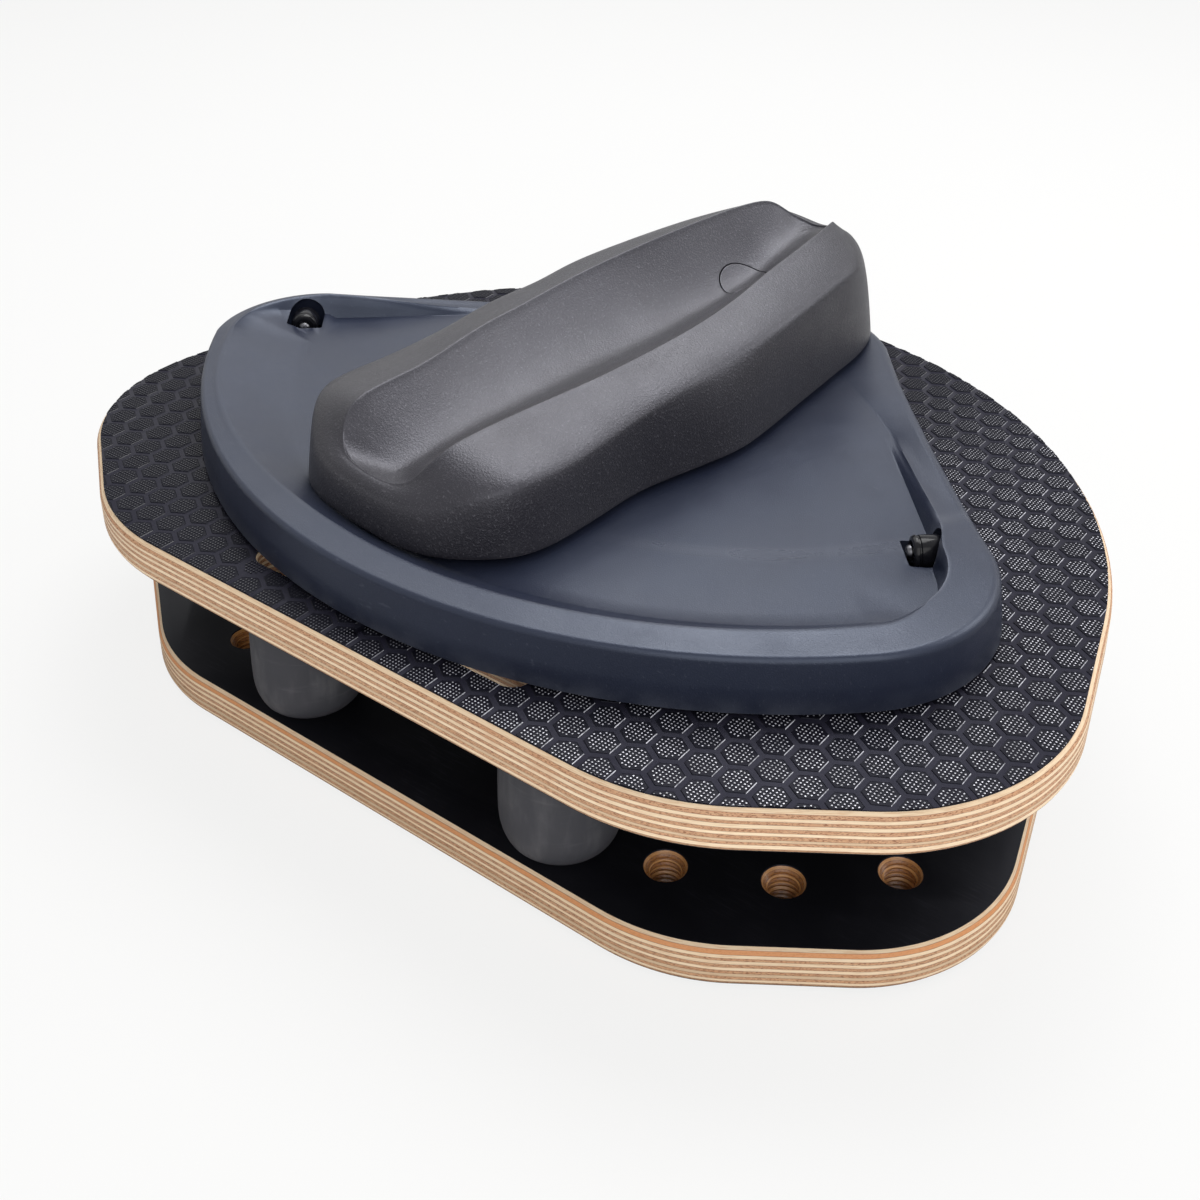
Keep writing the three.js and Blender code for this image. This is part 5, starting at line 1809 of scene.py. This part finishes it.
    def _rings(self, outline: Sequence[Edge]) -> list[list[Point]]:
        """All rings of the shell, from its lower edge over the shoulder to the floor.

        Args:
            outline: The outline about the spindle.

        Returns:
            The rings in the frame.
        """
        levels: list[Callable[[dict[str, float]], tuple[float, float]]] = [
            lambda v: (0.9, self.lift),
            lambda v: (0.25, self.lift + 0.25),
            lambda v: (0.0, self.lift + 0.9),
            lambda v: (v["lean"] * 0.5, mix(self.lift + 0.9, v["crest"] - v["shoulder_height"], 0.55)),
        ]
        for k in range(9):
            turn = math.pi / 2 * k / 8
            wide, high = 1 - math.cos(turn), 1 - math.sin(turn)
            levels.append(
                lambda v, wide=wide, high=high: (
                    v["lean"] + v["shoulder"] * wide,
                    v["crest"] - v["shoulder_height"] * high,
                )
            )
        for back, share in self.rim_loops:
            levels.append(
                lambda v, back=back, share=share: (
                    v["rim_end"] - min(back, share * v["rim_width"]),
                    mix(v["crest"], v["edge_top"], 1 - min(back / v["rim_width"], share)),
                )
            )
        levels += [
            lambda v: (
                v["rim_end"] - min(1.0, 0.35 * v["rim_width"]),
                mix(v["edge_top"], v["top"], v["round"]),
            ),
            lambda v: (
                v["rim_end"] - min(0.3, 0.1 * v["rim_width"]),
                v["edge_top"] - 0.12 * clamp(v["edge_top"] - self.floor),
            ),
            lambda v: (mix(v["edge"], v["brow"], 0.3), mix(v["edge_top"], v["brow_level"], 0.22)),
            lambda v: (mix(v["edge"], v["brow"], 0.65), mix(v["edge_top"], v["brow_level"], 0.62)),
            lambda v: (v["brow"], v["brow_level"]),
        ]
        for share, base, sag in ((0.25, 0.5, 0.5), (0.5, 0.0, 1.0), (0.78, 0.0, 0.4), (0.94, 0.0, 0.12)):
            levels.append(
                lambda v, share=share, base=base, sag=sag: (
                    mix(v["brow"], v["foot"], share),
                    mix(v["foot_level"], v["brow_level"], base + v["sag"] * sag),
                )
            )
        levels += [
            lambda v: (v["foot"] + 0.9, v["foot_level"] + 0.04),
            lambda v: (mix(v["foot"], self.floor_inset, 0.4), mix(v["foot_level"], self.floor, 0.55)),
            lambda v: (mix(v["foot"], self.floor_inset, 0.75), mix(v["foot_level"], self.floor, 0.92)),
            lambda v: (self.floor_inset, self.floor),
        ]
        return [self._ring(outline, level) for level in levels]

    def roller_axis(self, side: str) -> tuple[float, Point]:
        """Turn and place of a roller's axis.

        Args:
            side: left or right.

        Returns:
            The turn about Z in degrees and the foot of the axis in the frame.
        """
        lean = math.radians(self.side_degrees)
        sign = 1 if side == "right" else -1
        along = self.along[side]
        foot = (sign * along * math.sin(lean), -along * math.cos(lean), self.floor - self.roller_drop)
        turn = self.side_degrees if sign > 0 else 180 - self.side_degrees
        return turn + self.turn_degrees, turned_about_spindle([foot], self.turn_degrees)[0]

    def _hollow(self, piece: bpy.types.Object) -> None:
        """Draws the underside up inside the walls.

        Args:
            piece: The closed shell.
        """
        Bench.pick(piece)
        bpy.ops.object.mode_set(mode="EDIT")
        bpy.ops.mesh.select_all(action="DESELECT")
        shape = bmesh.from_edit_mesh(piece.data)
        lowest = (DECK + self.lift) * MM
        for face in shape.faces:
            face.select = face.normal.z < -0.9 and abs(face.calc_center_median().z - lowest) < 1e-5
        bmesh.update_edit_mesh(piece.data)
        bpy.ops.mesh.inset(thickness=(self.wall + self.lip) * MM, depth=0)
        bpy.ops.mesh.extrude_region_move(TRANSFORM_OT_translate={"value": (0, 0, self.hollow_height * MM)})
        bpy.ops.object.mode_set(mode="OBJECT")

    def build(self, palette: Palette) -> None:
        """Makes the shell with its pockets, and the rollers.

        Args:
            palette: The materials.
        """
        shell = Bench.loft("steering_plate_shell", self._rings(self.outline()))
        self._hollow(shell)
        for side in self.along:
            turn, foot = self.roller_axis(side)
            start, end = self.pocket_start, self.pocket_end[side]
            radius = self.pocket_radius
            profile = [
                (radius - 0.7, start), (radius, start + 0.7), (radius, end - 2.5), (radius - 0.8, end - 0.8),
                (radius - 2.4, end),
            ]
            pocket = Bench.turn("pocket", profile, 48)
            Bench.lay(pocket, 90, turn, foot)
            Bench.combine(shell, pocket)
            self._roller(side, turn, foot, palette)
        deliver(Bench.settle(shell, 44), palette.plate, Body.UPPER, ["steering_plate"])

    def _roller(self, side: str, turn: float, foot: Point, palette: Palette) -> None:
        """One roller with its cross-head screw.

        Args:
            side: left or right.
            turn: Turn of the axis about Z.
            foot: Foot of the axis.
            palette: The materials.
        """
        start, radius = self.roller_start, self.roller_radius
        end = start + self.roller_length
        profile = [
            (1.9, start + 0.6), (3.4, start + 0.6), (3.8, start + 0.15), (radius - 1.6, start),
            (radius - 0.5, start + 0.35), (radius, start + 1.2), (radius, start + 1.9),
            (radius - 0.5, start + 2.2), (radius - 0.5, start + 2.7), (radius, start + 3.0),
            (radius, end - 1.4), (radius - 0.5, end - 0.4), (radius - 1.2, end), (1.9, end),
        ]
        roller = Bench.turn(f"edge_roller_{side}", profile, 56, ring_shaped=True)
        Bench.lay(roller, 90, turn, foot)
        deliver(Bench.settle(roller, 40), palette.roller, Body.UPPER, [f"corner_roller_{side}"])
        head = start - 1.9
        profile = [
            (1.2, head), (2.1, head + 0.2), (2.6, head + 0.8), (2.7, head + 1.6), (1.5, head + 1.6),
            (1.5, end + 5.5), (0.9, end + 6),
        ]
        screw = Bench.turn(f"cross_screw_{side}", profile, 40)
        for size in ((2.9, 0.55, 1.6), (0.55, 2.9, 1.6)):
            Bench.clear()
            place = (0, 0, (head + 0.2) * MM)
            bpy.ops.mesh.primitive_cube_add(size=1, location=place, scale=Vector(size) * MM)
            blade = bpy.context.object
            bpy.ops.object.transform_apply(location=True, rotation=False, scale=True)
            Bench.modify(blade, "BEVEL", width=0.15 * MM, segments=2)
            Bench.combine(screw, blade)
        Bench.lay(screw, 90, turn, foot)
        deliver(Bench.settle(screw, 35), palette.dark_zinc, Body.UPPER, [f"roller_screw_{side}"])


# Wheel cradle


@dataclass(frozen=True)
class Station:
    """One cross station of the cradle, as shares of its length, half width and height.

    skirt: Along and across, on the floor.
    shoulder: Along, across and up, on the outer wall's top.
    crest: Along, across and up, on the channel's edge.
    bed: Along and up, on the channel's middle.
    """

    skirt: tuple[float, float]
    shoulder: tuple[float, float, float]
    crest: tuple[float, float, float]
    bed: tuple[float, float]


@dataclass
class WheelCradle:
    """Moulded cradle with a rounded channel for the tyre and a cap over its spindle."""

    turn_degrees: float = -8.0
    lift: float = 18.0
    length: float = 290.0
    front_reach: float = 220.0
    half_width: float = 65.3
    height: float = 56.3
    channel_power: float = 1.55
    crest_lifts: tuple[tuple[float, float], ...] = (
        (0.14, 0.9), (0.4, 1.3), (0.66, 0.9), (0.8, 0.5), (0.86, 0.35), (0.93, 0.3), (0.975, 0.2),
        (1.0, -0.2),
    )
    channel_shares: tuple[float, ...] = (0.975, 0.9, 0.76, 0.6, 0.43, 0.27, 0.12)
    station_steps: int = 3
    crest_drop: float = 0.9
    cap_radius: float = 10.3
    cap_gap: float = 0.6
    cap_foot: float = 14.0
    stations: tuple[Station, ...] = (
        Station((0, 0), (0.012, 0, 0.27), (0.027, 0, 0.34), (0.07, 0.262)),
        Station((0.004, 0.33), (0.016, 0.3, 0.28), (0.031, 0.2, 0.35), (0.075, 0.262)),
        Station((0.02, 0.58), (0.033, 0.54, 0.33), (0.042, 0.32, 0.41), (0.085, 0.266)),
        Station((0.057, 0.79), (0.062, 0.74, 0.43), (0.06, 0.39, 0.53), (0.1, 0.277)),
        Station((0.1, 0.93), (0.1, 0.865, 0.49), (0.088, 0.415, 0.61), (0.123, 0.295)),
        Station((0.15, 0.975), (0.15, 0.9, 0.505), (0.132, 0.425, 0.64), (0.15, 0.318)),
        Station((0.22, 0.957), (0.216, 0.9, 0.512), (0.207, 0.44, 0.66), (0.211, 0.352)),
        Station((0.317, 0.916), (0.317, 0.882, 0.568), (0.317, 0.514, 0.716), (0.317, 0.382)),
        Station((0.4, 0.953), (0.405, 0.888, 0.636), (0.405, 0.533, 0.75), (0.405, 0.409)),
        Station((0.493, 1), (0.493, 0.873, 0.664), (0.511, 0.549, 0.807), (0.511, 0.425)),
        Station((0.564, 0.965), (0.573, 0.873, 0.716), (0.603, 0.52, 0.864), (0.603, 0.459)),
        Station((0.67, 0.869), (0.67, 0.833, 0.75), (0.687, 0.463, 0.925), (0.687, 0.5)),
        Station((0.784, 0.77), (0.775, 0.755, 0.784), (0.78, 0.402, 0.973), (0.78, 0.58)),
        Station((0.872, 0.686), (0.846, 0.676, 0.784), (0.846, 0.349, 1), (0.837, 0.693)),
        Station((0.938, 0.549), (0.899, 0.51, 0.807), (0.896, 0.282, 0.992), (0.877, 0.752)),
        Station((0.982, 0.333), (0.943, 0.294, 0.807), (0.921, 0.165, 0.875), (0.899, 0.785)),
        Station((1, 0), (0.96, 0, 0.75), (0.932, 0, 0.815), (0.907, 0.8)),
    )

    def _curve(self, pick: Callable[[Station], tuple[float, float, float]]) -> list[Vector]:
        """Smooth half curve through one entry of every station, front middle to back middle.

        Args:
            pick: Gives the entry as shares along, across and up.

        Returns:
            Places on the curve, in millimetres about the spindle.
        """
        knots = []
        for station in self.stations:
            along, half, up = pick(station)
            y = along * self.length - self.front_reach
            knots.append(Vector((half * self.half_width, y, up * self.height)))
        knots = [2 * knots[0] - knots[1], *knots, 2 * knots[-1] - knots[-2]]
        made = []
        for i in range(1, len(knots) - 2):
            p0, p1, p2, p3 = knots[i - 1 : i + 3]
            for k in range(self.station_steps):
                t = k / self.station_steps
                square, cube = 2 * p0 - 5 * p1 + 4 * p2 - p3, 3 * p1 - p0 - 3 * p2 + p3
                made.append(0.5 * (2 * p1 + (p2 - p0) * t + square * t**2 + cube * t**3))
        made.append(knots[-2])
        return made

    @staticmethod
    def _between(
        first: Sequence[Vector], second: Sequence[Vector], share: float, lift: float
    ) -> list[Vector]:
        """Curve between two curves, lifted."""
        return [a.lerp(b, share) + Vector((0, 0, lift)) for a, b in zip(first, second)]

    def _whole(self, half: Sequence[Vector]) -> list[Point]:
        """Ring of a half curve and its mirror image.

        Args:
            half: The right half, about the spindle.

        Returns:
            The ring in the frame.
        """
        right = [(max(p.x, 0.0), p.y, p.z) for p in half]
        right[0], right[-1] = (0.0, *right[0][1:]), (0.0, *right[-1][1:])
        left = [(-x, y, z) for x, y, z in reversed(right[1:-1])]
        return turned_about_spindle([*right, *left], self.turn_degrees, lift=DECK + self.lift)

    def _form(self, name: str) -> bpy.types.Object:
        """The outer form as a closed smooth skin.

        Args:
            name: Name of the piece.

        Returns:
            The piece.
        """
        skirt = self._curve(lambda s: (*s.skirt, 0.0))
        shoulder = self._curve(lambda s: s.shoulder)
        crest = self._curve(lambda s: s.crest)
        bed = self._curve(lambda s: (s.bed[0], 0.0, s.bed[1]))
        rings = []
        for share, z in ((0.985, 0.0), (1.0, 0.5), (1.0, 1.6)):
            rings.append([Vector((p.x * share, p.y, z)) for p in skirt])
        for up, out in ((0.28, 0.14), (0.55, 0.32), (0.8, 0.56), (0.93, 0.78)):
            wall = []
            for a, b in zip(skirt, shoulder):
                place = a.lerp(b, out)
                place.z = b.z * up
                wall.append(place)
            rings.append(wall)
        rings.append(shoulder)
        for share, lift in self.crest_lifts:
            rings.append(self._between(shoulder, crest, share, lift))
        for share in self.channel_shares:
            ring = []
            for low, high in zip(bed, crest):
                place = low.lerp(high, share)
                place.z = mix(low.z, high.z - self.crest_drop, share**self.channel_power)
                ring.append(place)
            rings.append(ring)
        rings.append(bed)
        piece = Bench.loft(name, [self._whole(ring) for ring in rings])
        Bench.modify(piece, "SUBSURF", levels=2, render_levels=2)
        return piece

    def build(self, palette: Palette) -> None:
        """Makes the cradle and its cap.

        Args:
            palette: The materials.
        """
        shell = self._form("wheel_cradle_shell")
        cap = Bench.copy(shell, "spindle_cap")
        low, high = DECK + self.lift + self.cap_foot, DECK + self.lift + self.height + 5
        centre = (0.0, SPINDLE_Y)
        radius, wide = self.cap_radius, self.cap_radius + self.cap_gap
        core = Bench.turn("core", [(radius, low), (radius, high)], 64, centre)
        Bench.combine(cap, core, "INTERSECT")
        room = Bench.turn("room", [(wide, low - 0.4), (wide, high)], 64, centre)
        Bench.combine(shell, room)
        for piece, width, degrees in ((cap, 0.35, 50), (shell, 0.2, 62)):
            Bench.modify(
                piece,
                "BEVEL",
                width=width * MM,
                segments=2,
                limit_method="ANGLE",
                angle_limit=math.radians(degrees),
            )
        deliver(Bench.settle(shell, 32), palette.cradle, Body.CRADLE, ["wheel_cradle"])
        deliver(Bench.settle(cap, 40), palette.cradle, Body.CRADLE, ["swivel_cap"])


# Kept nodes, room and camera


@dataclass
class KeptNodes:
    """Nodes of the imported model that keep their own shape."""

    def build(self, palette: Palette, nodes: dict[str, bpy.types.Object]) -> None:
        """Gives each kept node its finish.

        Args:
            palette: The materials.
            nodes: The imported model's objects by name.
        """
        finishes = (
            (palette.pad, ("floor_pad", "plate_foot")),
            (palette.zinc, ("lower_stud", "lower_nut", "upper_stud")),
            (palette.zinc, ("spindle", "swivel_washer", "swivel_screw")),
            (palette.brass, ("upper_insert",)),
            (palette.slide, ("thrust", "swivel_bush", "glide")),
        )
        for name, node in nodes.items():
            for material, starts in finishes:
                if name.startswith(starts):
                    for slot in node.material_slots:
                        slot.material = material
                    if not node.material_slots:
                        node.data.materials.append(material)


@dataclass
class Studio:
    """Pale floor, soft lamps and the camera."""

    camera_place: Point = (351.59, -468.20, 429.09)
    camera_turn: Point = (63.618, 0.169, 37.553)
    lens: float = 47.0
    shift: tuple[float, float] = (-0.0067, -0.2)
    floor_size: float = 14.0
    world_strength: float = 0.33
    world_sheen: float = 0.85
    world_seen: float = 0.958
    floor_glow: float = 0.86

    def _floor(self) -> None:
        """Pale floor that stays nearly white to the camera and keeps the object's shadow."""
        Bench.clear()
        bpy.ops.mesh.primitive_plane_add(size=self.floor_size, location=(0, 0, -0.0002))
        floor = bpy.context.object
        floor.name = "studio_floor"
        s = Sketch("floor_paint")
        tone = s.span(s.noise(3, 2), 0.3, 0.7, 0.0, 1.0)
        paint_colour = s.blend(tone, (0.83, 0.83, 0.825), (0.84, 0.84, 0.835))
        glow = s.nodes.new("ShaderNodeEmission")
        glow.inputs["Color"].default_value = (0.955, 0.955, 0.95, 1)
        path = s.nodes.new("ShaderNodeLightPath")
        # To glossy rays the floor turns dark grey: painted shade in the reflections of the floor round the
        # object.
        s.set(
            Base_Color=s.blend(path.outputs["Is Glossy Ray"], paint_colour, (0.4, 0.4, 0.405)),
            Roughness=0.9,
            Specular_IOR_Level=0.1,
        )
        share = s.math("MULTIPLY", path.outputs["Is Camera Ray"], self.floor_glow)
        both = s.nodes.new("ShaderNodeMixShader")
        s.link(share, both.inputs[0])
        s.link(s.shader.outputs[0], both.inputs[1])
        s.link(glow.outputs[0], both.inputs[2])
        output = next(node for node in s.nodes if node.type == "OUTPUT_MATERIAL")
        s.link(both.outputs[0], output.inputs[0])
        dress(floor, s.material)

    def _world(self) -> None:
        """White surroundings, dimmer for light than for the camera."""
        world = bpy.data.worlds.new("studio_air")
        bpy.context.scene.world = world
        world.use_nodes = True
        nodes, links = world.node_tree.nodes, world.node_tree.links
        back = nodes["Background"]
        back.inputs["Color"].default_value = (1.0, 1.0, 0.995, 1)
        path = nodes.new("ShaderNodeLightPath")
        strength: bpy.types.NodeSocket | float = self.world_strength
        for ray, level in (("Is Glossy Ray", self.world_sheen), ("Is Camera Ray", self.world_seen)):
            step = nodes.new("ShaderNodeMix")
            links.new(path.outputs[ray], step.inputs[0])
            if isinstance(strength, float):
                step.inputs[2].default_value = strength
            else:
                links.new(strength, step.inputs[2])
            step.inputs[3].default_value = level
            strength = step.outputs[0]
        links.new(strength, back.inputs["Strength"])

    def _lamp(
        self, name: str, place: Point, size: tuple[float, float], watts: float, aim: Point = (0, 0, 80)
    ) -> None:
        """One soft lamp.

        Args:
            name: Its name.
            place: Its place in millimetres.
            size: Width and height in metres.
            watts: Its power.
            aim: Where it points.
        """
        data = bpy.data.lights.new(name, "AREA")
        data.shape, data.energy = "RECTANGLE", watts
        data.size, data.size_y = size
        lamp = bpy.data.objects.new(name, data)
        bpy.context.scene.collection.objects.link(lamp)
        lamp.location = Vector(place) * MM
        lamp.rotation_euler = (Vector(aim) - Vector(place)).to_track_quat("-Z", "Y").to_euler()

    def _camera(self) -> None:
        """Camera at the photograph's angle."""
        data = bpy.data.cameras.new("camera")
        data.lens, data.sensor_width, data.sensor_fit = self.lens, 36.0, "HORIZONTAL"
        data.shift_x, data.shift_y = self.shift
        data.clip_start, data.clip_end = 0.01, 100
        camera = bpy.data.objects.new("camera", data)
        bpy.context.scene.collection.objects.link(camera)
        camera.location = Vector(self.camera_place) * MM
        camera.rotation_euler = [math.radians(angle) for angle in self.camera_turn]
        bpy.context.scene.camera = camera

    def build(self) -> None:
        """Sets up the room."""
        bpy.context.scene.view_settings.view_transform = "Standard"
        self._camera()
        self._world()
        self._floor()
        self._lamp("key_lamp", (-700, 500, 1300), (1.2, 1.2), 6.0)
        self._lamp("over_lamp", (-150, 550, 1350), (0.9, 0.9), 14.5)
        self._lamp("fill_lamp", (900, -900, 800), (1.4, 1.4), 10.5)
        self._lamp("rim_lamp", (850, 950, 900), (0.8, 0.8), 7.5)


def main() -> None:
    logging.basicConfig(level=logging.INFO, format="%(message)s")
    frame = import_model()
    Studio().build()
    palette = Palette()
    KeptNodes().build(palette, frame["nodes"])
    plate = SteeringPlate()
    upper = UpperBoard()
    LowerBoard().build(palette)
    upper.build(palette)
    DeckGrip(upper, plate.world_outline()).build(palette)
    Buffer().build(palette)
    plate.build(palette)
    WheelCradle().build(palette)
    Bench.clear()


if __name__ == "__main__":
    main()
